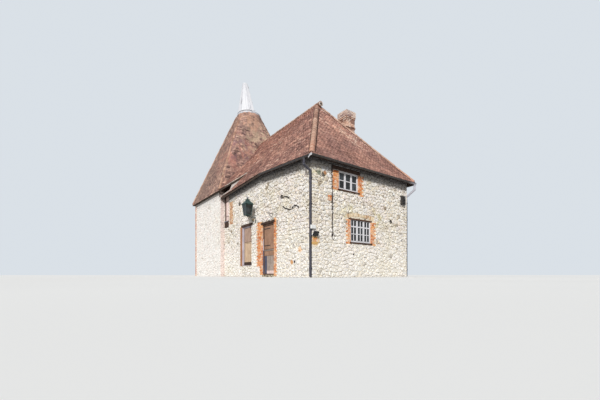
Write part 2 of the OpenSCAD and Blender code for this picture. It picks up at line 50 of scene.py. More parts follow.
REAR_FOOT = Vector((-4.18, 3.12, 4.505))
RIDGE_NEAR = Vector((0.90, 0, 8.77))
RIDGE_FAR = Vector((-5.20, 0, 8.77))
KILN_X, KILN_Y = -6.505, -0.125  # axis of the cowl and of the round top of the kiln roof
KILN_A, KILN_B, KILN_OFF = 2.47, 3.175, 0.075  # half sizes of the kiln's eaves, and their middle off the axis
KILN_EAVE, KILN_TOP, KILN_R = 4.97, 11.10, 0.80
HIP_ANGLE = math.radians(70)
SKIRT_LOW = Vector((-3.95, -3.31, 4.99))
SKIRT_RIGHT = Vector((-1.88, -2.44, 5.64))
SKIRT_TOP = Vector((-4.53, -1.04, 7.44))
COWL_Z, COWL_H, COWL_R, COWL_TIP_R, COWL_LEAN = 11.28, 2.20, 0.80, 0.16, 0.28
COWL_CUT = ((0.48, -0.01), (-0.09, 1.94))  # line of the open side, along and up
COWL_BEARING = math.radians(64)
LEFT_DOOR = (-1.80, 1.08, 0.56, 2.60)  # x, width, sill, head
RIGHT_DOOR = (0.34, 1.07, 0.10, 2.45)
HATCH = (-4.10, 0.57, 3.17, 4.68)
END_WINDOWS = ((-1.56, 3.50, 1.11, 0.75), (-0.90, 1.44, 1.23, 0.98))  # y, z, width, height
REAR_WINDOWS = ((0.50, 3.50, 1.11, 0.75), (0.50, 1.44, 1.23, 0.98))  # x, z, width, height
STACK_X, STACK_Y, STACK_W = 1.58, 1.43, 0.59
LANTERN = Vector((-0.27, -3.32, 2.95))

# Sizes of one tile, one brick and one stone, with the joints between them
TILE_W, TILE_L, TILE_T, GAUGE = 0.165, 0.15, 0.013, 0.1
TILE_RISE, TILE_DROP = 0.018, 0.028  # height off the slope, and drop of the first course below the eave
BRICK_W, BRICK_FACE, BRICK_T = 0.215, 0.065, 0.015
BRICK_PITCH, HALF_BRICK, BRICK_COURSE, BRICK_GAP = 0.225, 0.112, 0.075, 0.01
STONE_PITCH, STONE_STRETCH, STONE_JOINT = 0.140, 1.35, 0.020
SMALLEST_STONE = 0.0012  # square metres

# Corners of a square, in order round it
SQUARE = ((-1, -1), (1, -1), (1, 1), (-1, 1))


def round_pairs(items):
    """Each item with the one after it, and the last with the first."""
    return zip(items, items[1:] + items[:1])


def within(value):
    """A value kept from 0 to 1."""
    return min(1.0, max(0.0, value))


def eave_height(x):
    """Height of the front eave line at x."""
    end = CORNER if x > CROWN_X else FOOT
    return CROWN.z + (end.z - CROWN.z) * (x - CROWN_X) / (end.x - CROWN_X)


def plane_height(a, b, c):
    """A function that gives the height at x, y of the plane through three points."""
    n = (b - a).cross(c - a)
    return lambda x, y: a.z - (n.x * (x - a.x) + n.y * (y - a.y)) / n.z


ROOF_PLANES = [
    plane_height(CORNER, CROWN, RIDGE_NEAR),
    plane_height(CROWN, FOOT, RIDGE_FAR),
    plane_height(CROWN, RIDGE_FAR, RIDGE_NEAR),
    plane_height(REAR_CORNER, REAR_FOOT, RIDGE_NEAR),
    plane_height(CORNER, REAR_CORNER, RIDGE_NEAR),
]


def roof_height(x, y):
    """Height of the main roof's surface at x, y."""
    return min(plane(x, y) for plane in ROOF_PLANES)


def in_kiln_roof(p, spare):
    """True inside the kiln roof, whose sections go from a rectangle to a circle."""
    s = (p.z - KILN_EAVE) / (KILN_TOP - KILN_EAVE)
    if not 0 <= s <= 1:
        return False
    dx = abs(p.x - KILN_X - (1 - s) * KILN_OFF) - (1 - s) * KILN_A
    dy = abs(p.y - KILN_Y) - (1 - s) * KILN_B
    away = math.hypot(dx, dy) if dx > 0 and dy > 0 else max(dx, dy)
    return away < s * KILN_R - spare


def under_skirt(p):
    """True under the swept skirt of tiles."""
    corners = (SKIRT_LOW, SKIRT_RIGHT, SKIRT_TOP)
    for q, r in round_pairs(corners):
        if (r.x - q.x) * (p.y - q.y) - (r.y - q.y) * (p.x - q.x) < 0:
            return False
    return p.z < plane_height(*corners)(p.x, p.y) - 0.01


def behind_main_roof(p, spare=0.0):
    """True where the kiln roof has gone into the main roof."""
    return p.x > X_KILN - 1.3 and p.z < roof_height(p.x, p.y) - spare


def rgb(r, g, b):
    """A colour as shown, 0 to 255, made linear."""
    parts = [c / 255 for c in (r, g, b)]
    return [c / 12.92 if c < 0.04045 else ((c + 0.055) / 1.055) ** 2.4 for c in parts] + [1.0]


class Nodes:
    """Adds and wires the nodes of one tree."""

    def __init__(self, tree):
        self.tree = tree

    def feed(self, socket, value):
        """Links an input to another node's output, or sets it to a plain value."""
        if isinstance(value, bpy.types.NodeSocket):
            self.tree.links.new(value, socket)
        else:
            socket.default_value = value

    def node(self, kind, inputs, output=0, **settings):
        """Adds a node and gives one of its outputs."""
        made = self.tree.nodes.new(kind)
        for name, value in settings.items():
            setattr(made, name, value)
        for key, value in inputs.items():
            self.feed(made.inputs[key], value)
        return made.outputs[output]

    def combine(self, first, second, operation="MULTIPLY"):
        return self.node("ShaderNodeMath", {0: first, 1: second}, operation=operation)

    def seen_directly(self):
        """1 where the camera looks straight at a surface, or sees it in or through another."""
        rays = self.tree.nodes.new("ShaderNodeLightPath").outputs
        seen = self.combine(rays["Is Camera Ray"], rays["Is Glossy Ray"], "MAXIMUM")
        return self.combine(seen, rays["Is Transmission Ray"], "MAXIMUM")


# Stones, stains and holes that stand out on the front and end walls: place, reach, colour; the dark spots at
# 1.67 and 2.47 along the end wall are holes, dark as painted shade
SINGLE_STONES = (
    ((4.18, -2.37, 4.14), 0.085, (252, 250, 250)), ((4.18, -2.17, 4.17), 0.085, (252, 250, 250)),
    ((4.18, -2.27, 4.00), 0.09, (186, 130, 84)), ((4.18, -2.58, 3.96), 0.12, (144, 146, 124)),
    ((3.40, -2.87, 1.10), 0.15, (242, 208, 172)), ((2.82, -2.87, 0.62), 0.11, (214, 158, 100)),
    ((3.01, -2.87, 0.63), 0.07, (60, 58, 64)), ((4.18, 1.67, 2.53), 0.06, (72, 66, 66)),
    ((4.18, -0.74, 0.94), 0.06, (72, 66, 66)), ((4.18, 2.47, 1.72), 0.06, (84, 74, 70)),
)


class Finish(Nodes):
    """A procedural material in object coordinates."""

    def __init__(self, name, roughness=0.85, metallic=0.0, specular=0.3):
        self.material = bpy.data.materials.new(name)
        self.material.use_nodes = True
        super().__init__(self.material.node_tree)
        self.shader = self.tree.nodes["Principled BSDF"].inputs
        self.shader["Roughness"].default_value = roughness
        self.shader["Metallic"].default_value = metallic
        self.shader["Specular IOR Level"].default_value = specular
        self.place = self.node("ShaderNodeTexCoord", {}, "Object")

    def noise(self, scale, detail=4.0, rough=0.6, stretch=None, twist=0.0):
        place = self.place
        if stretch:
            place = self.node("ShaderNodeMapping", {"Vector": place, "Scale": stretch})
        values = {"Vector": place, "Scale": scale, "Detail": detail, "Roughness": rough}
        return self.node("ShaderNodeTexNoise", {**values, "Distortion": twist})

    def tone(self):
        """The shade that each tile, brick, stone or board carries."""
        return self.node("ShaderNodeAttribute", {}, 2, attribute_name="tone")

    def ramp(self, factor, *stops):
        """Colours, or plain values, at places along a factor."""
        made = self.tree.nodes.new("ShaderNodeValToRGB")
        bar = made.color_ramp.elements
        while len(bar) < len(stops):
            bar.new(0.5)
        for element, (at, shade) in zip(bar, stops):
            element.position = at
            element.color = rgb(*shade) if isinstance(shade, tuple) else [shade] * 3 + [1]
        self.feed(made.inputs[0], factor)
        return made.outputs[0]

    def patches(self, scale, detail, rough, start, stop, amount, stretch=None):
        """Patches of noise, from nothing at the start value to their full amount at the stop value."""
        return self.ramp(self.noise(scale, detail, rough, stretch), (start, 0.0), (stop, amount))

    def mix(self, share, first, second, mode="MIX"):
        """Lays a share of the second colour over the first."""
        made = self.tree.nodes.new("ShaderNodeMix")
        made.data_type, made.blend_type = "RGBA", mode
        for key, value in ((0, share), (6, first), (7, second)):
            self.feed(made.inputs[key], rgb(*value) if isinstance(value, tuple) else value)
        return made.outputs[2]

    def times(self, first, second, share=1.0):
        """Darkens or lightens the first colour by the second."""
        return self.mix(share, first, second, "MULTIPLY")

    def span(self, value, start, stop, low=0.0, high=1.0):
        """Goes from low to high while the value goes from start to stop."""
        return self.node("ShaderNodeMapRange", {0: value, 1: start, 2: stop, 3: low, 4: high})

    def axis(self, letter):
        """One coordinate of the object."""
        return self.node("ShaderNodeSeparateXYZ", {0: self.place}, letter)

    def facing(self, letter):
        """How far a face looks along one axis."""
        normal = self.node("ShaderNodeTexCoord", {}, "Normal")
        return self.node("ShaderNodeSeparateXYZ", {0: normal}, letter)

    def facing_up(self):
        """0 on walls and undersides, 1 on faces that look up."""
        return self.span(self.facing("Z"), 0.15, 0.4)

    def near(self, point, reach, soft=0.5):
        """1 close to a point of the object, falling to 0 at its reach."""
        away = self.node("ShaderNodeVectorMath", {0: self.place, 1: point}, "Value", operation="DISTANCE")
        return self.span(away, reach * (1 - soft), reach, 1.0, 0.0)

    def shade_and_grime_under_eaves(self):
        """The band of wall below the gutters, which follows the rise of the front eave: painted shade under
        the eaves, partly grime, darkest at the top.
        """
        near, far = (
            self.node("ShaderNodeMath", {0: self.axis("X"), 1: rise, 2: start}, operation="MULTIPLY_ADD")
            for rise, start in ((0.0772, -0.037), (-0.0386, 0.0185))
        )
        kiln = self.span(self.axis("X"), -4.20, -4.19, -0.2, 9.0)
        drop = self.combine(near, self.combine(far, kiln, "MINIMUM"), "MAXIMUM")
        share = self.span(self.combine(drop, self.axis("Z"), "ADD"), 4.28, 4.78)
        return self.ramp(share, (0.0, 0.0), (0.3, 0.5), (0.6, 0.66), (0.8, 0.9))

    def lower_wall(self):
        """Limewash left on the lowest part of a wall."""
        return self.span(self.axis("Z"), 2.4, 0.8, 0.0, 0.42)

    def kiln_corner(self, paint):
        """The kiln's narrow side beside the front wall is duller than its front."""
        return self.times(paint, (246, 232, 230), self.span(self.facing("X"), 0.5, 0.8))

    def single_stones(self, paint):
        for place, reach, shade in SINGLE_STONES:
            paint = self.mix(self.near(place, reach, 0.35), paint, shade)
        return paint

    def done(self, colour, rough, height, distance, strength):
        """Wires the colour, the roughness (low, high, pattern) and the bump, and gives the material."""
        self.feed(self.shader["Base Color"], colour)
        if rough:
            low, high, pattern = rough
            self.feed(self.shader["Roughness"], self.span(pattern, 0.2, 0.8, low, high))
        values = {"Height": height, "Distance": distance, "Strength": strength}
        self.feed(self.shader["Normal"], self.node("ShaderNodeBump", values))
        return self.material


# Shades of field stone, of the house's tiles, of the kiln's tiles and of ridge tiles, at places from 0 to 1
STONE_SHADES = (
    (0.0, (96, 88, 80)), (0.04, (158, 144, 126)), (0.12, (224, 214, 200)), (0.35, (246, 242, 236)),
    (0.60, (252, 250, 247)), (0.80, (248, 240, 236)), (0.93, (240, 228, 206)), (1.0, (226, 200, 156)),
)
HOUSE_CLAY = (
    (0.0, (122, 92, 86)), (0.16, (150, 113, 104)), (0.48, (178, 137, 124)),
    (0.76, (198, 156, 141)), (0.90, (218, 178, 158)), (1.0, (238, 210, 190)),
)
KILN_CLAY = (
    (0.0, (100, 80, 76)), (0.2, (138, 112, 104)), (0.48, (164, 134, 122)),
    (0.75, (182, 150, 136)), (0.93, (204, 172, 152)), (1.0, (224, 196, 172)),
)
RIDGE_CLAY = ((0.0, (134, 100, 86)), (0.35, (164, 126, 108)), (0.7, (188, 148, 128)), (1.0, (204, 170, 150)))

# Algae on the end wall: place and reach
ALGAE = (((4.18, -2.62, 3.85), 0.42), ((4.18, 0.62, 2.55), 0.60), ((4.18, -1.05, 2.62), 0.55))

# Patches on the kiln's right face: noise scale and stretch, start, stop and amount, place, reach, colour
KILN_PATCHES = (
    (1.6, None, (0.47, 0.56, 0.80), (-5.10, -2.0, 8.0), 2.0, (184, 132, 118)),
    (2.3, None, (0.50, 0.58, 0.80), (-5.05, -1.7, 8.0), 1.5, (140, 108, 110)),
    (2.8, (1, 1, 0.5), (0.46, 0.56, 0.85), (-5.72, -0.6, 10.2), 1.1, (204, 162, 138)),
    (3.4, None, (0.46, 0.56, 0.80), (-4.9, 0.6, 8.6), 2.2, (202, 178, 152)),
)


def stone_finish(name, wash):
    """Pale field stone; wash is how much limewash covers it."""
    f = Finish(name, specular=0.15)
    stone = f.ramp(f.tone(), *STONE_SHADES)
    cloud = f.noise(1.1, 5, 0.65)
    stain = f.ramp(cloud, (0.32, (244, 237, 216)), (0.46, (255, 254, 252)), (0.7, (253, 246, 248)))
    stone = f.times(stone, stain, 0.8)
    algae = f.patches(4.0, 6, 0.7, 0.46, 0.58, 0.75)
    for place, reach in ALGAE:
        stone = f.mix(f.combine(algae, f.near(place, reach, 0.6)), stone, (222, 208, 132))
    # Dark specks: painted shade of the gaps between stones
    shade_specks = f.ramp(f.noise(15, 3, 0.6, (1, 1, 1.5)), (0.38, (70, 54, 42)), (0.435, (255, 255, 253)))
    stone = f.times(stone, shade_specks, 0.85)
    grain = f.noise(36, 8, 0.72)
    pits = f.ramp(grain, (0.30, (176, 166, 158)), (0.41, (252, 250, 248)), (0.7, (255, 255, 255)))
    stone = f.mix(f.lower_wall(), f.times(stone, pits, 0.85), (255, 251, 243))
    ochre = f.combine(f.near((4.18, -2.77, 1.37), 0.24, 0.3), 0.9)
    stone = f.single_stones(f.mix(ochre, stone, (216, 162, 66)))
    # Painted shade under the eaves, partly grime
    stone = f.mix(f.shade_and_grime_under_eaves(), stone, (104, 102, 106))
    stone = f.mix(wash, stone, (252, 249, 245))
    if wash > 0.5:
        stone = f.kiln_corner(stone)
    return f.done(stone, (0.78, 0.96, grain), f.noise(26, 9, 0.7), 0.03, 1.0)


def mortar_finish(name, pale, body=(200, 186, 163), grimy_and_shaded=False):
    """Lime mortar with small dark holes, painted shade in its hollows; one kind is also stained, and dark
    below the eaves with painted shade that is partly grime.
    """
    f = Finish(name, specular=0.15)
    cloud = f.ramp(f.noise(2.2, 6, 0.7), (0.3, 0.90), (0.7, 1.10))
    lime = f.mix(pale, f.times(body, cloud), (248, 244, 238))
    # Small dark holes: painted shade in the hollows of the joints
    holes = f.ramp(f.noise(13, 4, 0.65), (0.41, (62, 48, 38)), (0.47, (255, 255, 253)))
    lime = f.times(lime, holes, 1 - 0.5 * pale)
    if grimy_and_shaded:
        lime = f.single_stones(f.mix(f.lower_wall(), lime, (246, 240, 226)))
        # Painted shade under the eaves, partly grime
        lime = f.mix(f.shade_and_grime_under_eaves(), lime, (92, 90, 94))
    else:
        lime = f.kiln_corner(lime)
    return f.done(lime, (0.85, 0.98, f.noise(40, 3)), f.noise(22, 8, 0.7), 0.02, 1.0)


def tile_finish(name, kiln):
    """Old clay tiles, each with its own shade; the kiln's are greyer and patchier."""
    f = Finish(name, specular=0.2)
    clay = f.ramp(f.tone(), *(KILN_CLAY if kiln else HOUSE_CLAY))
    weather = f.ramp(f.noise(0.55, 6, 0.7), (0.38, (220, 214, 218)), (0.6, (255, 246, 240)))
    clay = f.times(clay, weather, 0.8)
    clay = f.times(clay, f.span(f.axis("Z"), 4.6, 8.6, 1.0 if kiln else 0.92, 1.12))
    if kiln:
        runs = f.ramp(f.noise(6.4, 7, 0.75, (1, 1, 0.5)), (0.41, 0.76), (0.5, 1.0), (0.59, 1.30))
        clay = f.times(clay, runs)
        for scale, stretch, limits, place, reach, shade in KILN_PATCHES:
            patch = f.patches(scale, 4, 0.6, *limits, stretch)
            clay = f.mix(f.combine(patch, f.near(place, reach)), clay, shade)
    mottle = f.ramp(f.noise(4.4, 6, 0.72), (0.38, 0.86 if kiln else 0.72), (0.5, 0.99), (0.62, 1.24))
    lichen = (216, 194, 168) if kiln else (214, 184, 164)
    clay = f.mix(f.patches(11, 7, 0.75, 0.56, 0.66, 0.75), f.times(clay, mottle), lichen)
    soot = f.ramp(f.noise(6, 6, 0.7), (0.33, 0.2 if kiln else 0.35), (0.42, 0.0))
    clay = f.mix(soot, clay, (100, 78, 70))
    if kiln:
        far_side = f.span(f.axis("X"), -8.2, -5.2, 0.55, 0.0)
        clay = f.mix(far_side, clay, (146, 124, 112))
    return f.done(clay, (0.7, 0.95, f.noise(14, 5)), f.noise(30, 8, 0.7), 0.014, 0.9)


def roof_bed_finish():
    """Roof slopes under the tiles: dark clay above, old timber on edges and soffits."""
    f = Finish("roof bed", specular=0.2)
    clay = f.ramp(f.noise(3, 5), (0.3, (96, 70, 62)), (0.7, (138, 104, 92)))
    grain = f.noise(3.5, 8, 0.65, (1, 9, 9), 0.4)
    timber = f.ramp(grain, (0.3, (46, 38, 34)), (0.7, (88, 74, 64)))
    return f.done(f.mix(f.facing_up(), timber, clay), (0.75, 0.95, grain), grain, 0.01, 0.6)


def capping_finish(name, crusted):
    """Half-round ridge and hip tiles; crusted ones carry lichen on their lower run."""
    f = Finish(name, specular=0.2)
    clay = f.ramp(f.tone(), *RIDGE_CLAY)
    crust = f.patches(7, 7, 0.75, 0.50, 0.62, 0.85)
    if crusted:
        crust = f.combine(crust, f.span(f.axis("Z"), 6.2, 9.4, 1.0, 0.25))
    else:
        clay = f.mix(f.span(f.axis("Z"), 7.4, 6.4, 0.0, 0.6), clay, (184, 148, 128))
        clay = f.mix(f.span(f.axis("Z"), 5.6, 4.9, 0.0, 0.75), clay, (196, 143, 119))
    clay = f.mix(crust, clay, (198, 180, 148) if crusted else (204, 176, 156))
    return f.done(clay, (0.7, 0.95, f.noise(12, 5)), f.noise(26, 8, 0.7), 0.012, 0.8)


def painted_boards_finish():
    """White paint, thin in places; boards of a low shade carry grey streaks."""
    f = Finish("white paint", specular=0.3)
    streak = f.noise(1.0, 7, 0.68, (11, 11, 1.1), 0.6)
    worn = f.ramp(streak, (0.36, (146, 144, 148)), (0.48, (198, 198, 203)), (0.56, (220, 220, 224)))
    sound = f.ramp(streak, (0.30, (200, 200, 206)), (0.44, (221, 221, 225)), (0.6, (228, 228, 230)))
    paint = f.mix(f.ramp(f.tone(), (0.15, 0.0), (0.4, 1.0)), worn, sound)
    paint = f.times(paint, f.ramp(f.tone(), (0.0, 0.93), (1.0, 1.0)))
    paint = f.mix(f.patches(6, 8, 0.75, 0.66, 0.76, 0.45), paint, (176, 174, 172))
    return f.done(paint, (0.4, 0.75, streak), f.noise(4, 8, 0.7, (12, 12, 0.8)), 0.006, 0.6)


def brick_finish(name, dark, middle, light, bloomed=(240, 226, 206)):
    """Old bricks, from dark to light, some of them limed over."""
    f = Finish(name, specular=0.15)
    clay = f.ramp(f.tone(), (0.0, dark), (0.4, middle), (0.8, light), (1.0, middle))
    clay = f.mix(f.patches(5.5, 6, 0.7, 0.50, 0.62, 0.75), clay, bloomed)
    pits = f.ramp(f.noise(24, 6, 0.75), (0.32, 0.55), (0.43, 0.0))
    clay = f.mix(pits, clay, (122, 84, 62))
    return f.done(clay, (0.8, 0.96, f.noise(30, 4)), f.noise(34, 8, 0.7), 0.01, 0.9)


def plank_finish(name, dark, middle, light, grain_axis=(10, 10, 0.7)):
    """Weathered boards: grain along the length, a shade for each board."""
    f = Finish(name, specular=0.2)
    grain = f.noise(4.0, 9, 0.68, grain_axis, 0.7)
    wood = f.ramp(grain, (0.28, dark), (0.5, middle), (0.74, light))
    wood = f.times(wood, f.ramp(f.tone(), (0.0, 0.68), (0.5, 0.98), (1.0, 1.12)))
    worn = f.ramp(f.noise(2.4, 6, 0.7), (0.40, (222, 216, 212)), (0.60, (255, 252, 248)))
    return f.done(f.times(wood, worn, 0.7), (0.6, 0.9, grain), grain, 0.006, 0.7)


def paint_finish(name, colour, worn, roughness, wear):
    """Painted or plastic surface with wear and dirt."""
    f = Finish(name, specular=0.35)
    cloud = f.noise(3.2, 6, 0.7)
    coat = f.times(colour, f.ramp(cloud, (0.3, 0.82), (0.7, 1.06)))
    coat = f.mix(f.patches(14, 8, 0.75, wear, wear + 0.08, 0.8), coat, worn)
    return f.done(coat, (roughness - 0.12, roughness + 0.2, cloud), f.noise(40, 6), 0.003, 0.5)


def glass_finish():
    """Old window glass, painted dark as the shade of the room behind, with paler patches as painted
    reflection.
    """
    f = Finish("old glass painted dark", 0.08, specular=0.35)
    shade_and_reflection = f.ramp(f.noise(1.9, 4), (0.38, (14, 14, 16)), (0.55, (40, 42, 42)), (0.7, (72, 78, 84)))
    return f.done(shade_and_reflection, None, f.noise(5.0, 3, 0.5), 0.004, 0.35)


def iron_finish(name, dark, rust, pale_and_painted_highlights=False):
    """Painted iron with spots; the pale kind has painted highlights on its tops and on faces that look along
    -x, and is paler at the rear corner and at one joint.
    """
    f = Finish(name, 0.6, 0.25, 0.5)
    coat = f.ramp(f.noise(6), (0.3, dark), (0.7, tuple(c + 18 for c in dark)))
    coat = f.mix(f.patches(18, 7, 0.7, 0.5, 0.64, 0.8), coat, rust)
    if pale_and_painted_highlights:
        # Faces looking along -x and faces looking up are made lighter: painted highlights
        coat = f.mix(f.span(f.facing("X"), 0.0, -0.6, 0.0, 0.55), coat, (140, 130, 150))
        coat = f.mix(f.combine(f.facing_up(), 0.45), coat, (150, 150, 142))
        coat = f.mix(f.near((4.35, 2.95, 4.05), 0.55, 0.4), coat, (188, 186, 194))
        coat = f.mix(f.near((4.50, -3.24, 4.40), 0.10), coat, (206, 204, 206))
    return f.done(coat, (0.45, 0.8, f.noise(22, 5)), f.noise(55, 6), 0.002, 0.6)


STONE = stone_finish("field stone", 0.06)
STONE_WASHED = stone_finish("limewashed stone", 0.62)
MORTAR = mortar_finish("lime mortar", 0.1, (240, 227, 204), True)
MORTAR_WASHED = mortar_finish("limewashed mortar", 0.85)
TILE = tile_finish("roof clay", False)
KILN_TILE = tile_finish("kiln clay", True)
ROOF_BED = roof_bed_finish()
CAPPING = capping_finish("ridge clay", False)
KILN_CAPPING = capping_finish("kiln ridge clay", True)
WHITE_BOARDS = painted_boards_finish()
BRICK = brick_finish("orange brick", (196, 108, 60), (224, 138, 76), (238, 174, 114))
BROWN_BRICK = brick_finish("brown brick", (162, 106, 76), (202, 148, 110), (222, 182, 142))
PALE_BRICK = brick_finish("tan brick", (186, 150, 116), (212, 186, 146), (228, 208, 176), (244, 234, 214))
STACK_BRICK = brick_finish("stack brick", (130, 92, 80), (226, 182, 158), (242, 207, 184), (244, 226, 210))
CAP_BRICK = brick_finish("cap brick", (150, 124, 124), (214, 188, 172), (234, 213, 198), (242, 227, 214))
STACK_BED = mortar_finish("stack bed", 0.0, (160, 134, 118))
# Dark mortar beside the hips: partly sooty bedding, partly painted shade beside the cappings
DARK_BED_AND_SHADE = mortar_finish("dark bedding and painted shade", 0.0, (76, 56, 50))
PALE_BED = mortar_finish("pale bedding", 0.6)
GLASS = glass_finish()
IRON = iron_finish("dark iron", (42, 36, 34), (92, 70, 56))
GUTTER = iron_finish("painted gutter", (56, 52, 52), (86, 78, 60), True)
PIPE_PAINT = iron_finish("downpipe paint", (46, 45, 55), (82, 76, 80), True)
SILL_PAINT = iron_finish("grey sill paint", (138, 136, 146), (170, 168, 176))
LANTERN_PAINT = iron_finish("lantern paint", (44, 64, 62), (84, 104, 98))
LEAD = paint_finish("valley lead", (196, 186, 178), (222, 212, 204), 0.6, 0.56)
WINDOW_PAINT = paint_finish("window paint", (226, 224, 226), (168, 160, 154), 0.55, 0.62)
SILL_TIMBER = plank_finish("sill timber", (58, 38, 30), (92, 64, 50), (122, 90, 70), (0.8, 0.8, 9))
FLOOR_BOARDS = plank_finish("floor boards", (112, 84, 58), (150, 116, 84), (176, 142, 108), (0.6, 6, 6))
SCREED = mortar_finish("floor screed", 0.0)
LEFT_UPPER_WOOD = plank_finish("left upper boards", (132, 104, 90), (186, 158, 141), (208, 184, 166))
LEFT_LOWER_WOOD = plank_finish("left lower boards", (160, 134, 106), (216, 188, 158), (232, 208, 180))
RIGHT_UPPER_WOOD = plank_finish("right upper boards", (112, 82, 64), (166, 130, 108), (196, 162, 138))
RIGHT_LOWER_WOOD = plank_finish("right lower boards", (112, 100, 92), (170, 156, 146), (204, 196, 190))
LEFT_FRAME_PAINT = plank_finish("left frame paint", (168, 158, 168), (206, 198, 208), (224, 218, 226))
RIGHT_FRAME_PAINT = plank_finish("right frame paint", (92, 74, 66), (134, 108, 94), (160, 134, 118))
HATCH_WOOD = plank_finish("hatch boards", (206, 180, 174), (234, 212, 206), (244, 230, 226))
HATCH_POST_AND_SHADE = plank_finish("hatch post and painted shade", (92, 68, 62), (122, 94, 86), (146, 118, 108))
SLATE_PAINT = plank_finish("slate blue boards", (62, 66, 84), (96, 100, 122), (128, 132, 150))
POST_WOOD = plank_finish("post timber", (120, 84, 60), (176, 126, 92), (206, 160, 124))
DARK_TIMBER = plank_finish("dark timber", (46, 34, 30), (76, 58, 50), (104, 84, 72))
WHITE_PLASTIC = paint_finish("white casing", (236, 236, 234), (190, 186, 180), 0.45, 0.7)
BLACK_PLASTIC = paint_finish("black casing", (38, 36, 36), (74, 70, 68), 0.5, 0.7)
# Dark stand-in for the insides of holes: painted shade
HOLE_SHADE = paint_finish("painted hole shade", (28, 22, 20), (44, 36, 32), 0.9, 0.6)


def circle(sides):
    """Angles all the way round."""
    return [2 * math.pi * k / sides for k in range(sides)]


def skin(rings, sides, ends=True):
    """Faces over rings of points, with flat ends or closed back onto the first ring."""
    faces = []
    for i in range(rings - 1 if ends else rings):
        low, high = i * sides, (i + 1) % rings * sides
        for k in range(sides):
            j = (k + 1) % sides
            faces.append([low + k, low + j, high + j, high + k])
    if ends:
        faces += [list(range(sides))[::-1], list(range((rings - 1) * sides, rings * sides))]
    return faces


def bent_strip(steps):
    """Faces of a strip bent round a bar: two rows of steps + 1 pairs of points."""
    row, last, faces = 2 * (steps + 1), 2 * steps, []
    for p in range(0, last, 2):
        q = p + 1
        faces += [[p, p + 2, p + 2 + row, p + row], [q + row, q + 2 + row, q + 2, q]]
        faces += [[q, q + 2, p + 2, p], [p + row, p + 2 + row, q + 2 + row, q + row]]
    return faces + [[0, row, row + 1, 1], [last + 1, last + 1 + row, last + row, last]]


def flipped(faces):
    return [face[::-1] for face in faces]


def outward(points, faces):
    """The faces of a convex shape centred on the origin, all turned outwards."""
    turned = []
    for face in faces:
        corners = [Vector(points[i]) for i in face]
        a, b, c = corners[:3]
        out = (b - a).cross(c - a).dot(sum(corners, Vector())) > 0
        turned.append(face if out else face[::-1])
    return turned


def axes_of(x, y):
    """Axes of a piece: x and y as given, z square to both."""
    return Matrix((x, y, x.cross(y))).transposed()


def chamfered(size, edge):
    """Points and faces of a box with chamfered edges, centred on the origin."""
    half = [s / 2 for s in size]
    e = min(edge, 0.4 * min(size))
    points = []
    for corner in ((sx, sy, sz) for sx in (-1, 1) for sy in (-1, 1) for sz in (-1, 1)):
        for whole in (2, 1, 0):
            reach = [h if k == whole else h - e for k, h in enumerate(half)]
            points.append(Vector([s * d for s, d in zip(corner, reach)]))

    def at(ix, iy, iz, k):
        return ((ix * 2 + iy) * 2 + iz) * 3 + k

    ring = ((0, 0), (1, 0), (1, 1), (0, 1))
    faces = []
    for i in (0, 1):
        faces.append([at(a, b, i, 0) for a, b in ring])
        faces.append([at(a, i, b, 1) for a, b in ring])
        faces.append([at(i, a, b, 2) for a, b in ring])
        for j in (0, 1):
            faces.append([at(0, i, j, 0), at(1, i, j, 0), at(1, i, j, 1), at(0, i, j, 1)])
            faces.append([at(i, 0, j, 0), at(i, 1, j, 0), at(i, 1, j, 2), at(i, 0, j, 2)])
            faces.append([at(i, j, 0, 1), at(i, j, 1, 1), at(i, j, 1, 2), at(i, j, 0, 2)])
            for k in (0, 1):
                faces.append([at(i, j, k, 0), at(i, j, k, 1), at(i, j, k, 2)])
    return points, outward(points, faces)


def settle(name, mesh, body, replaced=()):
    """Links a finished mesh as a piece, at the origin, on its body."""
    mesh.validate()
    made = bpy.data.objects.new(name, mesh)
    bpy.context.scene.collection.objects.link(made)
    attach(made, body)
    if replaced:
        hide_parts(*replaced)


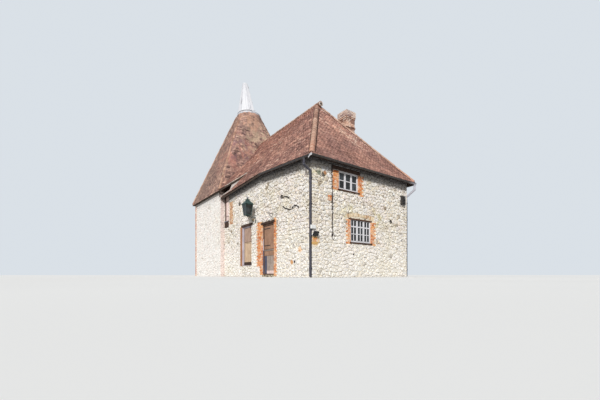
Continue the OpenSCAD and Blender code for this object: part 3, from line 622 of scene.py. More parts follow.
class Shape:
    """Gathers closed solids into one mesh, with a shade for each point."""

    def __init__(self):
        self.points, self.faces, self.tones, self.finishes = [], [], [], []

    def add(self, points, faces, tone=0.5, finish=0, place=None):
        start = len(self.points)
        self.points += [place @ Vector(p) for p in points] if place else [Vector(p) for p in points]
        self.faces += [[start + i for i in face] for face in faces]
        self.tones += [tone] * len(points)
        self.finishes += [finish] * len(faces)

    def block(self, low, high, edge=0.004, tone=0.5, finish=0, place=None):
        """A box with chamfered edges."""
        low, high = Vector(low), Vector(high)
        points, faces = chamfered(high - low, edge)
        middle = (low + high) / 2
        self.add([middle + p for p in points], faces, tone, finish, place)

    def beam(self, start, end, width, depth, up=UP, edge=0.004, tone=0.5, finish=0):
        """A chamfered bar from start to end."""
        start, end = Vector(start), Vector(end)
        along = (end - start).normalized()
        side = along.cross(Vector(up)).normalized()
        axes = axes_of(along, side)
        points, faces = chamfered(Vector(((end - start).length, width, depth)), edge)
        middle = (start + end) / 2
        self.add([middle + axes @ p for p in points], faces, tone, finish)

    def tube(self, path, radius, sides=10):
        """A round bar that follows a path."""
        path = [Vector(p) for p in path]
        points, side = [], None
        for before, p, after in zip(path[:1] + path, path, path[1:] + path[-1:]):
            along = (after - before).normalized()
            if side is None:
                side = along.orthogonal().normalized()
            side = (side - along * side.dot(along)).normalized()
            other = along.cross(side)
            points += [p + (side * math.cos(a) + other * math.sin(a)) * radius for a in circle(sides)]
        self.add(points, skin(len(path), sides))

    def turned(self, profile, centre, sides=20, tone=0.5, finish=0):
        """A turned shape from (radius, height) pairs; the ends are closed flat."""
        points = [
            Vector(centre) + Vector((r * math.cos(a), r * math.sin(a), z))
            for r, z in profile for a in circle(sides)
        ]
        self.add(points, skin(len(profile), sides), tone, finish)

    def tapered(self, low_half, high_half, z0, z1, centre):
        """A four-sided tapering block."""
        points = [
            (centre[0] + sx * half, centre[1] + sy * half, z)
            for half, z in ((low_half, z0), (high_half, z1)) for sx, sy in SQUARE
        ]
        self.add(points, skin(2, 4))

    def piece(self, name, finishes, slot, body="house", replaced=(), smooth=None):
        """Turns what was gathered into one object that rides on a body."""
        mesh = bpy.data.meshes.new(name)
        mesh.from_pydata(self.points, [], self.faces)
        mesh.attributes.new("tone", "FLOAT", "POINT").data.foreach_set("value", self.tones)
        for finish in finishes:
            mesh.materials.append(finish)
        mesh.polygons.foreach_set("material_index", self.finishes)
        if smooth:
            mesh.shade_smooth()
            mesh.set_sharp_from_angle(angle=math.radians(smooth))
        settle(name, mesh, body, replaced)


def laying_tree():
    """A geometry tree that lays one unit shape at every place of a mesh of points."""
    tree = bpy.data.node_groups.new("laid pieces", "GeometryNodeTree")
    for label, kind in (
        ("Places", "Geometry"), ("Unit", "Object"), ("Width", "Float"), ("Length", "Float"),
        ("Thickness", "Float"), ("Loose turn", "Float"), ("Seed", "Int"), ("Finish", "Material"),
    ):
        tree.interface.new_socket(label, in_out="INPUT", socket_type="NodeSocket" + kind)
    tree.interface.new_socket("Pieces", in_out="OUTPUT", socket_type="NodeSocketGeometry")
    nodes = Nodes(tree)
    given = tree.nodes.new("NodeGroupInput").outputs
    turn, size = (
        nodes.node("GeometryNodeInputNamedAttribute", {"Name": label}, data_type="FLOAT_VECTOR")
        for label in ("turn", "size")
    )
    unit = nodes.node("GeometryNodeObjectInfo", {"Object": given["Unit"]}, "Geometry")
    whole = nodes.node("ShaderNodeCombineXYZ", {0: given["Width"], 1: given["Length"], 2: given["Thickness"]})
    scale = nodes.node("ShaderNodeVectorMath", {0: whole, 1: size}, operation="MULTIPLY")
    inputs = {"Points": given["Places"], "Instance": unit, "Rotation": turn, "Scale": scale}
    laid = nodes.node("GeometryNodeInstanceOnPoints", inputs)
    inputs = {0: (-1, -1, -1), 1: (1, 1, 1), "Seed": given["Seed"]}
    loose = nodes.node("FunctionNodeRandomValue", inputs, data_type="FLOAT_VECTOR")
    nudge = nodes.node("ShaderNodeVectorMath", {0: loose, "Scale": given["Loose turn"]}, operation="SCALE")
    rocked = nodes.node("GeometryNodeRotateInstances", {"Instances": laid, "Rotation": nudge})
    real = nodes.node("GeometryNodeRealizeInstances", {0: rocked})
    painted = nodes.node("GeometryNodeSetMaterial", {"Geometry": real, "Material": given["Finish"]})
    tree.links.new(painted, tree.nodes.new("NodeGroupOutput").inputs[0])
    return tree


LAYING = laying_tree()


def lay_pieces(name, unit, rows, sizes, loose, seed, finish):
    """Lays a unit shape at rows of (place, axes, scale, tone) and keeps the result as a plain mesh."""
    places = bpy.data.meshes.new(name + " places")
    places.from_pydata([row[0] for row in rows], [], [])
    for label, kind, field, values in (
        ("turn", "FLOAT_VECTOR", "vector", [c for row in rows for c in row[1].to_euler()]),
        ("size", "FLOAT_VECTOR", "vector", [c for row in rows for c in row[2]]),
        ("tone", "FLOAT", "value", [row[3] for row in rows]),
    ):
        places.attributes.new(label, kind, "POINT").data.foreach_set(field, values)
    unit_mesh = bpy.data.meshes.new("unit")
    unit_mesh.from_pydata(unit[0], [], unit[1])
    carrier = bpy.data.objects.new(name + " carrier", places)
    unit_object = bpy.data.objects.new("unit", unit_mesh)
    for helper in (carrier, unit_object):
        bpy.context.scene.collection.objects.link(helper)
    modifier = carrier.modifiers.new("laying", "NODES")
    modifier.node_group = LAYING
    values = {
        "Unit": unit_object, "Width": sizes[0], "Length": sizes[1], "Thickness": sizes[2],
        "Loose turn": math.radians(loose), "Seed": seed, "Finish": finish,
    }
    for socket in LAYING.interface.items_tree:
        if socket.name in values:
            modifier[socket.identifier] = values[socket.name]
    graph = bpy.context.evaluated_depsgraph_get()
    laid = bpy.data.meshes.new_from_object(
        carrier.evaluated_get(graph), preserve_all_data_layers=True, depsgraph=graph
    )
    laid.name = name
    for label in ("turn", "size"):
        if laid.attributes.get(label):
            laid.attributes.remove(laid.attributes[label])
    for helper in (carrier, unit_object):
        bpy.data.objects.remove(helper)
    settle(name, laid, "house")


def unit_tile():
    """A cambered roof tile: x across, y up from its lower edge, z its thickness."""
    camber = 0.35
    points = [
        (x, y, lift + camber * (1 - 4 * x * x))
        for lift in (0.0, 1.0) for y in (0.0, 1.0) for x in (-0.5, 0.0, 0.5)
    ]
    faces = [
        [6, 7, 10, 9], [7, 8, 11, 10], [3, 4, 1, 0], [4, 5, 2, 1],
        [0, 1, 7, 6], [1, 2, 8, 7], [4, 3, 9, 10], [5, 4, 10, 11], [3, 0, 6, 9], [2, 5, 11, 8],
    ]
    return points, faces


def unit_brick():
    """A brick face: x across, y up, z out, with its outer edges worn off."""
    levels = ((0.5, 0.5, 0), (0.5, 0.5, 0.55), (0.46, 0.4, 1))
    return [(a * x, 0.5 + b * y, z) for x, y, z in levels for a, b in SQUARE], skin(3, 4)


def unit_half_round():
    """A half-round tile: y along it, its lower end wider than its head."""
    steps, reach, inner, head = 8, 95, 0.86, 0.9
    points = []
    for y, r in ((0.0, 1.0), (1.0, head)):
        for k in range(steps + 1):
            a = math.radians(-reach + 2 * reach * k / steps)
            points += [(radius * math.sin(a), y, radius * math.cos(a)) for radius in (r, r * inner)]
    return points, bent_strip(steps)


def unit_bracket():
    """A flat half hoop under a gutter: x along it."""
    steps, start, sweep = 8, 212, 116
    points = []
    for x in (-0.5, 0.5):
        for k in range(steps + 1):
            a = math.radians(start + sweep * k / steps)
            points += [(x, r * math.cos(a), r * math.sin(a)) for r in (1.0, 1.09)]
    return points, flipped(bent_strip(steps))


def shade_at(p, spread, rng):
    """A shade that drifts slowly over a surface, with its own chance for each piece."""
    drift = 0.5 + 0.22 * noise.noise(p * 0.9)
    return within(drift + rng.uniform(-spread, spread))


def any_shade(p, rng):
    return shade_at(p, 0.44, rng)


def end_slope_shade(p, rng):
    """Shades of the end slope, which is paler higher up."""
    return within(shade_at(p, 0.26, rng) + 0.2 * within((p.z - 4.9) / 1.6))


def lay_course(rows, line, normals, middle, odd, rng, keep, shade=any_shade):
    """Adds the tiles of one course. line is its points, normals one for each stretch of it."""
    lengths = [(b - a).length for a, b in zip(line, line[1:])]
    total = sum(lengths)
    narrow, sliver, gap = 0.03, 0.02, 0.004
    if total < 2 * narrow:
        return
    joint = (middle + (TILE_W / 2 if odd else 0)) % TILE_W
    edges = [0.0] + ([joint] if joint > narrow else [])
    while edges[-1] + TILE_W < total - narrow:
        edges.append(edges[-1] + TILE_W if edges[-1] > 0 or joint <= narrow else joint)
    edges.append(total)
    for e0, e1 in zip(edges, edges[1:]):
        if e1 - e0 < sliver:
            continue
        s, k = (e0 + e1) / 2, 0
        while k < len(lengths) - 1 and s > lengths[k]:
            s -= lengths[k]
            k += 1
        along = (line[k + 1] - line[k]).normalized()
        p = line[k] + along * s
        if not keep(p):
            continue
        normal = normals[k]
        up = normal.cross(along)
        sag = 0.012 * noise.noise(p * 0.7)
        rise = TILE_RISE + sag + rng.uniform(-0.002, 0.004)
        slope = (up * TILE_L - normal * (TILE_RISE + 0.003)).normalized()
        axes = axes_of(along, slope)
        place = p + normal * rise - up * rng.uniform(0, 0.006)
        rows.append((place, axes, ((e1 - e0 - gap) / TILE_W, 1, 1), shade(p, rng)))


def lay_tiles(name, rows, loose, seed, finish):
    lay_pieces(name, unit_tile(), rows, (TILE_W, TILE_L, TILE_T), loose, seed, finish)


def slope_normal(a, b, c):
    """Direction out of the roof plane through three points."""
    n = (b - a).cross(c - a).normalized()
    return n if n.z > 0 else -n


def on_main_roof(p):
    """True where a tile of the main roof is laid."""
    half = STACK_W / 2 - 0.03
    in_stack = abs(p.x - STACK_X) < half and abs(p.y - STACK_Y) < half
    under_lead = p.x < -3.45 and p.y < -2.96
    return not (in_kiln_roof(p, 0.05) or under_skirt(p) or in_stack or under_lead)


def main_roof_tiles():
    """Courses of the main roof's front, end and rear slopes."""
    # For each slope its pairs of eave and ridge points, its planes, the middle of its eave and its shades
    slopes = (
        ("front_slope_tiles",
         [(FOOT, RIDGE_FAR), (CROWN, RIDGE_FAR), (CROWN, RIDGE_NEAR), (CORNER, RIDGE_NEAR)],
         [(CROWN, FOOT, RIDGE_FAR), (CROWN, RIDGE_FAR, RIDGE_NEAR), (CORNER, CROWN, RIDGE_NEAR)],
         Vector((0, -3.12, 4.79)), any_shade),
        ("end_slope_tiles", [(CORNER, RIDGE_NEAR), (REAR_CORNER, RIDGE_NEAR)],
         [(CORNER, REAR_CORNER, RIDGE_NEAR)], Vector((4.43, 0, 4.5)), end_slope_shade),
        ("rear_slope_tiles", [(REAR_CORNER, RIDGE_NEAR), (REAR_FOOT, RIDGE_FAR)],
         [(REAR_CORNER, REAR_FOOT, RIDGE_NEAR)], Vector((0, 3.12, 4.505)), any_shade),
    )
    for seed, (name, pairs, planes, eave_middle, shade) in enumerate(slopes, 11):
        rng, rows = random.Random(seed), []
        normals = [slope_normal(*plane) for plane in planes]
        up = normals[0].cross((pairs[-1][0] - pairs[0][0]).normalized())
        length = abs(max((high - low).dot(up) for low, high in pairs))
        for k in range(int(length / GAUGE) + 1):
            share = (k * GAUGE - TILE_DROP) / length
            line = [low + share * (high - low) for low, high in pairs]
            along = (line[-1] - line[0]).normalized()
            middle = (eave_middle - line[0]).dot(along)
            lay_course(rows, line, normals, middle, k % 2, rng, on_main_roof, shade)
        lay_tiles(name, rows, 0.7, seed, TILE)


def skirt_tiles():
    """Courses of the swept skirt, parallel to its lower edge."""
    rng, rows, drop = random.Random(21), [], 0.02
    edge = (SKIRT_RIGHT - SKIRT_LOW).normalized()
    n = (SKIRT_RIGHT - SKIRT_LOW).cross(SKIRT_TOP - SKIRT_LOW).normalized()
    height = (SKIRT_TOP - SKIRT_LOW).dot(n.cross(edge))
    for k in range(int(height / GAUGE) + 1):
        t = (k * GAUGE - drop) / height
        line = [corner + t * (SKIRT_TOP - corner) for corner in (SKIRT_LOW, SKIRT_RIGHT)]
        lay_course(rows, line, [n], (Vector() - line[0]).dot(edge), k % 2, rng, lambda p: True)
    lay_tiles("skirt_tiles", rows, 0.9, 21, TILE)


def valley_lead():
    """Mortar edge of the skirt, the lead below it and the lead end of the eave."""
    shape, beds, stations = Shape(), 16, 13

    def edge(t):
        return SKIRT_LOW.lerp(SKIRT_RIGHT, t)

    for k in range(beds):
        t0, t1 = 0.22 + 0.76 * k / beds, 0.22 + 0.76 * (k + 0.96) / beds
        drop = Vector((0.010, -0.020, -0.016 + 0.008 * noise.noise(edge(t0) * 5)))
        shape.beam(edge(t0) + drop, edge(t1) + drop, 0.034, 0.030, UP, 0.007, 0.5)
    points, behind = [], Vector((-0.006, 0.012, -0.006))
    for k in range(stations):
        middle = edge(0.40 + 0.56 * k / (stations - 1))
        p, low = middle + Vector((0.03, 0.07, 0)), middle + Vector((0.02, -0.05, 0))
        low.z = roof_height(low.x, low.y) + 0.030
        high = Vector((p.x, p.y, max(p.z - 0.085, roof_height(p.x, p.y) + 0.040)))
        points += [low, high, high + behind, low + behind]
    shape.add(points, [[a, d, c, b] for a, b, c, d in skin(stations, 4)], 0.5, 1)
    tilt = (CROWN - FOOT).cross(RIDGE_FAR - FOOT).normalized()
    for ends in ((-4.05, -3.56), (-3.57, -3.10), (-3.11, -2.68)):
        a, b = (Vector((x, -3.065, roof_height(x, -3.065) + 0.040)) for x in ends)
        shape.beam(a, b, 0.125, 0.022, tilt, 0.006, 0.5, 1)
    # A dark block on the kiln's corner below its eave: partly a dark flashing piece, partly painted shade
    # under the eave
    shape.block((-4.27, -3.165, 4.66), (-4.17, -3.135, 4.95), 0.008, 0.3, 2)
    shape.piece("valley_lead", [PALE_BED, LEAD, DARK_TIMBER], "gutter_grey")


def kiln_tiles():
    """Courses of the kiln roof, from straight eaves to the round top."""
    rise, steps, hip, half, drop = KILN_TOP - KILN_EAVE, 3, HIP_ANGLE, math.pi / 2, 0.022

    def at(core_x, core_y, angle, s):
        r = s * KILN_R
        return Vector((
            KILN_X + (1 - s) * (KILN_OFF + core_x * KILN_A) + r * math.cos(angle),
            KILN_Y + core_y * (1 - s) * KILN_B + r * math.sin(angle),
            KILN_EAVE + s * rise,
        ))

    def normal(core_x, core_y, angle):
        c, s = math.cos(angle), math.sin(angle)
        lean = ((KILN_OFF + core_x * KILN_A) * c + core_y * KILN_B * s - KILN_R) / rise
        return Vector((c, s, lean)).normalized()

    def clear(p):
        return not behind_main_roof(p, 0.01) and not under_skirt(p)

    # For each side the two corners of its eave, and the angles that each half of its round top spans
    sides = {
        "kiln_front_tiles": (((-1, -1), (1, -1)), (-math.pi + hip, -half), (-half, -hip)),
        "kiln_right_tiles": (((1, -1), (1, 1)), (-hip, 0.0), (0.0, hip)),
        "kiln_rear_tiles": (((1, 1), (-1, 1)), (hip, half), (half, math.pi - hip)),
        "kiln_left_tiles": (((-1, 1), (-1, -1)), (math.pi - hip, math.pi), (math.pi, math.pi + hip)),
    }
    for seed, (name, (cores, *turns)) in enumerate(sides.items(), 31):
        rng, rows = random.Random(seed), []
        run = (KILN_B if cores[0][1] == cores[1][1] else KILN_A) - KILN_R
        length = math.hypot(run, rise)
        angles = [
            (core, start + (end - start) * i / steps)
            for core, (start, end) in zip(cores, turns) for i in range(steps + 1)
        ]
        normals = [(normal(*p, a) + normal(*q, b)).normalized() for (p, a), (q, b) in zip(angles, angles[1:])]
        for k in range(int((length - 0.05) / GAUGE) + 1):
            line = [at(*core, angle, k * GAUGE / length) for core, angle in angles]
            if k == 0:
                line = [p - drop * UP for p in line]
            spans = [(b - a).length for a, b in zip(line, line[1:])]
            used = [i for i, span in enumerate(spans) if span > 1e-4]
            if used:
                points = [line[used[0]]] + [line[i + 1] for i in used]
                lay_course(rows, points, [normals[i] for i in used], sum(spans) / 2, k % 2, rng, clear)
        lay_tiles(name, rows, 0.9, seed, KILN_TILE)


def cappings(name, lines, radius, finish, seed, keep=lambda p: True):
    """Half-round tiles along ridge and hip lines."""
    rng, rows, gauge, lap = random.Random(seed), [], 0.30, 1.12
    for start, end in lines:
        along = (end - start).normalized()
        normal = (UP - along * UP.dot(along)).normalized()
        axes = axes_of(along.cross(normal), along)
        count = int((end - start).length / gauge)
        step = (end - start).length / count
        for k in range(count):
            p = start + along * (k * step)
            if keep(p + along * step / 2):
                size = 1 + rng.uniform(-0.04, 0.04)
                lift = normal * rng.uniform(-0.003, 0.005)
                rows.append((p + lift, axes, (size, lap * step / gauge, size), rng.random()))
    lay_pieces(name, unit_half_round(), rows, (radius, gauge, radius), 1.0, seed, finish)


def hip_bedding(shape, start, end):
    """Short lengths of mortar down both sides of a hip."""
    along, count, lift = (end - start).normalized(), 26, 0.034
    for reach, width in ((-0.108, 0.036), (0.126, 0.052)):
        side = along.cross(UP).normalized() * reach
        low, high = start + 0.16 * along + side, end - 0.22 * along + side
        low.z, high.z = roof_height(low.x, low.y) + lift, roof_height(high.x, high.y) + lift
        for k in range(count):
            p, q = low.lerp(high, k / count), low.lerp(high, (k + 0.97) / count)
            shape.beam(p, q, width, 0.034, UP, 0.008, 0.15 + 0.2 * noise.noise(p * 3))


def ridge_end(centre):
    """The ragged ring of mortar round the open end of the ridge, and a dark disc inside it, painted shade of
    the hollow ridge.
    """
    end, steps = Shape(), 18
    profile = ((0.0, 0.112), (0.035, 0.116), (0.048, 0.104), (0.048, 0.074), (0.0, 0.066))
    points = []
    for depth, radius in profile:
        for a in circle(steps):
            r = radius * (1 + 0.10 * noise.noise(Vector((math.cos(a), math.sin(a), depth * 20)) * 1.7))
            points.append(centre + Vector((depth, r * math.sin(a), r * math.cos(a))))
    end.add(points, flipped(skin(len(profile), steps, False)), 0.9)
    points = [
        centre + Vector((depth, 0.070 * math.sin(a), 0.070 * math.cos(a)))
        for depth in (0.004, 0.012) for a in circle(steps)
    ]
    end.add(points, flipped(skin(2, steps)), 0.1, 1)
    end.piece("ridge_end_mortar", [PALE_BED, HOLE_SHADE], "ridge_clay")


def all_cappings():
    """Ridge and hip tiles of both roofs, their bedding and the mortared ridge end."""
    sunk = 0.045  # how far the tiles' lower edges sit below the ridge and the hips
    ridge_z = RIDGE_NEAR.z - sunk
    ridge = (Vector((RIDGE_NEAR.x + 0.32, 0, ridge_z)), Vector((RIDGE_FAR.x, 0, ridge_z)))
    cappings("ridge_cappings", [ridge], 0.119, CAPPING, 41, lambda p: not in_kiln_roof(p, 0.1))
    hips, bedding = [], Shape()
    for corner in (CORNER, REAR_CORNER):
        start, end = (corner + share * (RIDGE_NEAR - corner) for share in (0.012, 0.965))
        hips.append((start - sunk * UP, end - sunk * UP))
        hip_bedding(bedding, start, end)
    cappings("hip_cappings", hips, 0.106, CAPPING, 42)
    # Their dark finish is partly painted shade beside the cappings
    bedding.piece("hip_bedding", [DARK_BED_AND_SHADE], "ridge_clay")
    hips = []
    for sx, sy in ((-1, -1), (-1, 1), (1, -1), (1, 1)):
        foot = Vector((KILN_X + KILN_OFF + sx * KILN_A, KILN_Y + sy * KILN_B, KILN_EAVE - 0.02))
        x, y = sx * KILN_R * math.cos(HIP_ANGLE), sy * KILN_R * math.sin(HIP_ANGLE)
        head = Vector((KILN_X + x, KILN_Y + y, KILN_TOP - 0.02))
        hips.append((foot + 0.012 * (head - foot), foot + 0.985 * (head - foot)))
    cappings("kiln_hip_cappings", hips, 0.088, KILN_CAPPING, 43, lambda p: not behind_main_roof(p))
    ridge_end(ridge[0] + Vector((-0.02, 0, -0.030)))


# Wall faces: a point on each and the direction that it looks in. Places along a face are measured
# along UP x that direction: x on the front, y on the end wall, -x on the rear, -y on the kiln's left
FRONT_FACE = ((0, Y_FRONT, 0), (0, -1, 0))
END_FACE = ((X_END, 0, 0), (1, 0, 0))
REAR_FACE = ((0, Y_REAR, 0), (0, 1, 0))
KILN_FRONT_FACE = ((0, Y_KILN, 0), (0, -1, 0))
KILN_RETURN_FACE = ((X_KILN, 0, 0), (1, 0, 0))
KILN_LEFT_FACE = ((X_FAR, 0, 0), (-1, 0, 0))

# Heights where stones and bricks end under the eaves, and where bricks begin
END_STONE_TOP, REAR_STONE_TOP, RETURN_STONE_TOP = 4.62, 4.675, 4.60
KILN_STONE_TOP, KILN_BRICK_TOP, BRICK_FOOT = 4.955, 4.94, 0.02
DOOR_REVEAL, WINDOW_REVEAL = 0.058, 0.028  # depths of the bricked sides of openings

# Brick zones (u0, z0, u1, z1) with how far their teeth step in at each side
FRONT_BRICKS = (
    ((-0.20, 0.50, 0.34, 2.60), (0.10, 0.0)),
    ((0.12, 0.10, 0.34, 0.50), (0.06, 0.0)),
    ((1.41, 0.05, 1.68, 2.62), (0.0, 0.08)),
)
END_BRICKS = (
    ((-1.88, 3.44, -1.56, 4.20), (0.0, 0.0)),
    ((-0.45, 3.38, -0.14, 4.22), (0.0, 0.10)),
    ((-1.17, 1.36, -0.90, 2.36), (0.10, 0.0)),
    ((0.33, 1.36, 0.64, 2.36), (0.0, 0.10)),
)
REAR_BRICKS = [
    (u0, z - 0.08, u1, z + h + 0.03)
    for x, z, w, h in REAR_WINDOWS for u0, u1 in ((-x - w - 0.28, -x - w), (-x, -x + 0.28))
]

# Other zones (u0, z0, u1, z1) that stones leave free
HATCH_BRICKS = (-3.45, 2.95, -2.94, 4.20)
LEFT_POST = (-2.01, 0.56, -1.80, 2.62)  # timber beside the left doorway
ARCH = (-1.20, 2.36, 0.56, 2.72)
UPPER_LINTEL = (-1.94, 4.25, -0.36, 4.385)
DARK_HOLE = (1.58, 2.43, 1.74, 2.61)
ORANGE_BRICK = (-2.13, 2.97, -1.93, 3.18)
OCHRE_BRICK = (-2.87, 1.34, -2.64, 1.50)


def clip(polygon, a, b, c, margin):
    """Part of a convex polygon where a * u + b * v <= c, less a margin."""
    size = math.hypot(a, b)
    a, b, c = a / size, b / size, c / size - margin
    kept = []
    for p, q in round_pairs(polygon):
        dp, dq = a * p[0] + b * p[1] - c, a * q[0] + b * q[1] - c
        if dp <= 0:
            kept.append(p)
        if dp * dq < 0:
            t = dp / (dp - dq)
            kept.append((p[0] + t * (q[0] - p[0]), p[1] + t * (q[1] - p[1])))
    return kept


def area_of(polygon):
    return 0.5 * sum(p[0] * q[1] - q[0] * p[1] for p, q in round_pairs(polygon))


def limits(polygon):
    """Lowest u and v and highest u and v of a polygon."""
    return [pick(values) for pick in (min, max) for values in zip(*polygon)]


def scattered(outline, rng):
    """Middles of stones in rough courses over an outline; gaps in them make larger stones."""
    u0, v0, u1, v1 = limits(outline)
    step_u, step_v = STONE_PITCH * STONE_STRETCH, STONE_PITCH
    middles = []
    for r in range(-1, int((v1 - v0) / step_v) + 2):
        for c in range(-1, int((u1 - u0) / step_u) + 2):
            if rng.random() < 0.12:
                continue
            u = u0 + (c + 0.5 * (r % 2) + rng.uniform(-0.4, 0.4)) * step_u
            middles.append((u, v0 + (r + rng.uniform(-0.4, 0.4)) * step_v))
    return middles


def stone_cells(outline, holes, rng):
    """Irregular stone faces that fill a convex outline and leave rectangular holes free."""
    middles = scattered(outline, rng)
    tree = KDTree(len(middles))
    for i, (u, v) in enumerate(middles):
        tree.insert((u / STONE_STRETCH, v, 0), i)
    tree.balance()
    sides = [
        (q[1] - p[1], p[0] - q[0], (q[1] - p[1]) * p[0] + (p[0] - q[0]) * p[1])
        for p, q in round_pairs(outline)
    ]
    reach = 3 * STONE_PITCH * STONE_STRETCH
    cells = []
    for i, (u, v) in enumerate(middles):
        cell = [(u + a * reach, v + b * reach) for a, b in SQUARE]
        for _, j, _ in tree.find_n((u / STONE_STRETCH, v, 0), 14):
            if j == i:
                continue
            other_u, other_v = middles[j]
            a, b = (other_u - u) / STONE_STRETCH**2, other_v - v
            c = ((other_u**2 - u**2) / STONE_STRETCH**2 + other_v**2 - v**2) / 2
            cell = clip(cell, a, b, c, STONE_JOINT / 2)
        for side in sides:
            cell = clip(cell, *side, STONE_JOINT / 3)
        for u0, v0, u1, v1 in holes:
            if not cell:
                break
            low_u, low_v, high_u, high_v = limits(cell)
            if low_u < u1 and high_u > u0 and low_v < v1 and high_v > v0:
                edges = ((1, 0, u0), (-1, 0, -u1), (0, 1, v0), (0, -1, -v1))
                cell = max((clip(cell, *edge, STONE_JOINT / 3) for edge in edges), key=area_of)
        if area_of(cell) > SMALLEST_STONE:
            cells.append(cell)
    return cells


def stones(name, face, outline, holes, seed, finish=STONE, proud=(0.010, 0.040)):
    """Lays rubble stones with tilted caps on one wall face; proud is their least and greatest height."""
    origin, normal = (Vector(v) for v in face)
    along, rng, shape = UP.cross(normal), random.Random(seed), Shape()
    back, short_edge, lean, dark_share = -0.006, 0.008, 0.14, 0.013
    for cell in stone_cells(outline, holes, rng):
        corners = [p for p, q in round_pairs(cell) if math.dist(p, q) > short_edge]
        count = len(corners)
        if count < 3:
            continue
        u, v = (sum(values) / count for values in zip(*corners))
        h = rng.uniform(*proud)
        lean_u, lean_v = rng.uniform(-lean, lean), rng.uniform(-lean, lean)
        tone = within(rng.gauss(0.52, 0.17))
        if rng.random() < dark_share:
            tone = rng.uniform(0, 0.1)
        points = []
        for share, lift, rough in ((1.0, back, 0.0), (0.92, 0.55 * h, 0.1), (0.62, h, 0.15)):
            for p in corners:
                du, dv = (p[0] - u) * share, (p[1] - v) * share
                out = lift + rough * h * rng.uniform(-1, 1)
                if lift > 0:
                    out += lean_u * du + lean_v * dv
                points.append(origin + along * (u + du) + UP * (v + dv) + normal * max(out, back))
        shape.add(points, skin(3, count), tone)
    shape.piece(name, [finish], "rubble_stone")


def wall_zone(u0, u1, top):
    """A piece of wall from the ground up."""
    return [(u0, 0.0), (u1, 0.0), (u1, top), (u0, top)]


def kiln_corner_zone(u0, u1):
    """A corner of the kiln that bricks fill and stones leave free."""
    return (u0, 0, u1, KILN_STONE_TOP)


def quoin_stones():
    """Dressed corner stones; gives (width on one face, width on the other, z0, z1) of each."""
    rng = random.Random(71)
    z, k, sizes = 0.0, 0, []
    while z < 4.35:
        h = rng.uniform(0.09, 0.17)
        long, short = rng.uniform(0.18, 0.34), rng.uniform(0.10, 0.19)
        sizes.append((long, short, z, z + h) if k % 2 else (short, long, z, z + h))
        z, k = z + h, k + 1
    shape = Shape()
    for w, d, z0, z1 in sizes:
        for y, sy, a, b in ((Y_FRONT, 1, w, d), (Y_REAR, -1, d, w)):
            proud = rng.uniform(0.008, 0.014)
            low = (X_END - a, min(y + sy * b, y - sy * proud), z0 + 0.006)
            high = (X_END + proud, max(y + sy * b, y - sy * proud), z1 - 0.006)
            shape.block(low, high, 0.022, within(rng.gauss(0.5, 0.18)))
            # Each of the block's eight corners has three points, which move together
            for first in range(-24, 0, 3):
                dx, dy, dz = (rng.uniform(-0.010, 0.006) for _ in range(3))
                for i in range(first, first + 3):
                    shape.points[i] += Vector((dx, -sy * dy, 0.7 * dz))
    shape.piece("corner_stones", [STONE], "rubble_stone")
    return sizes


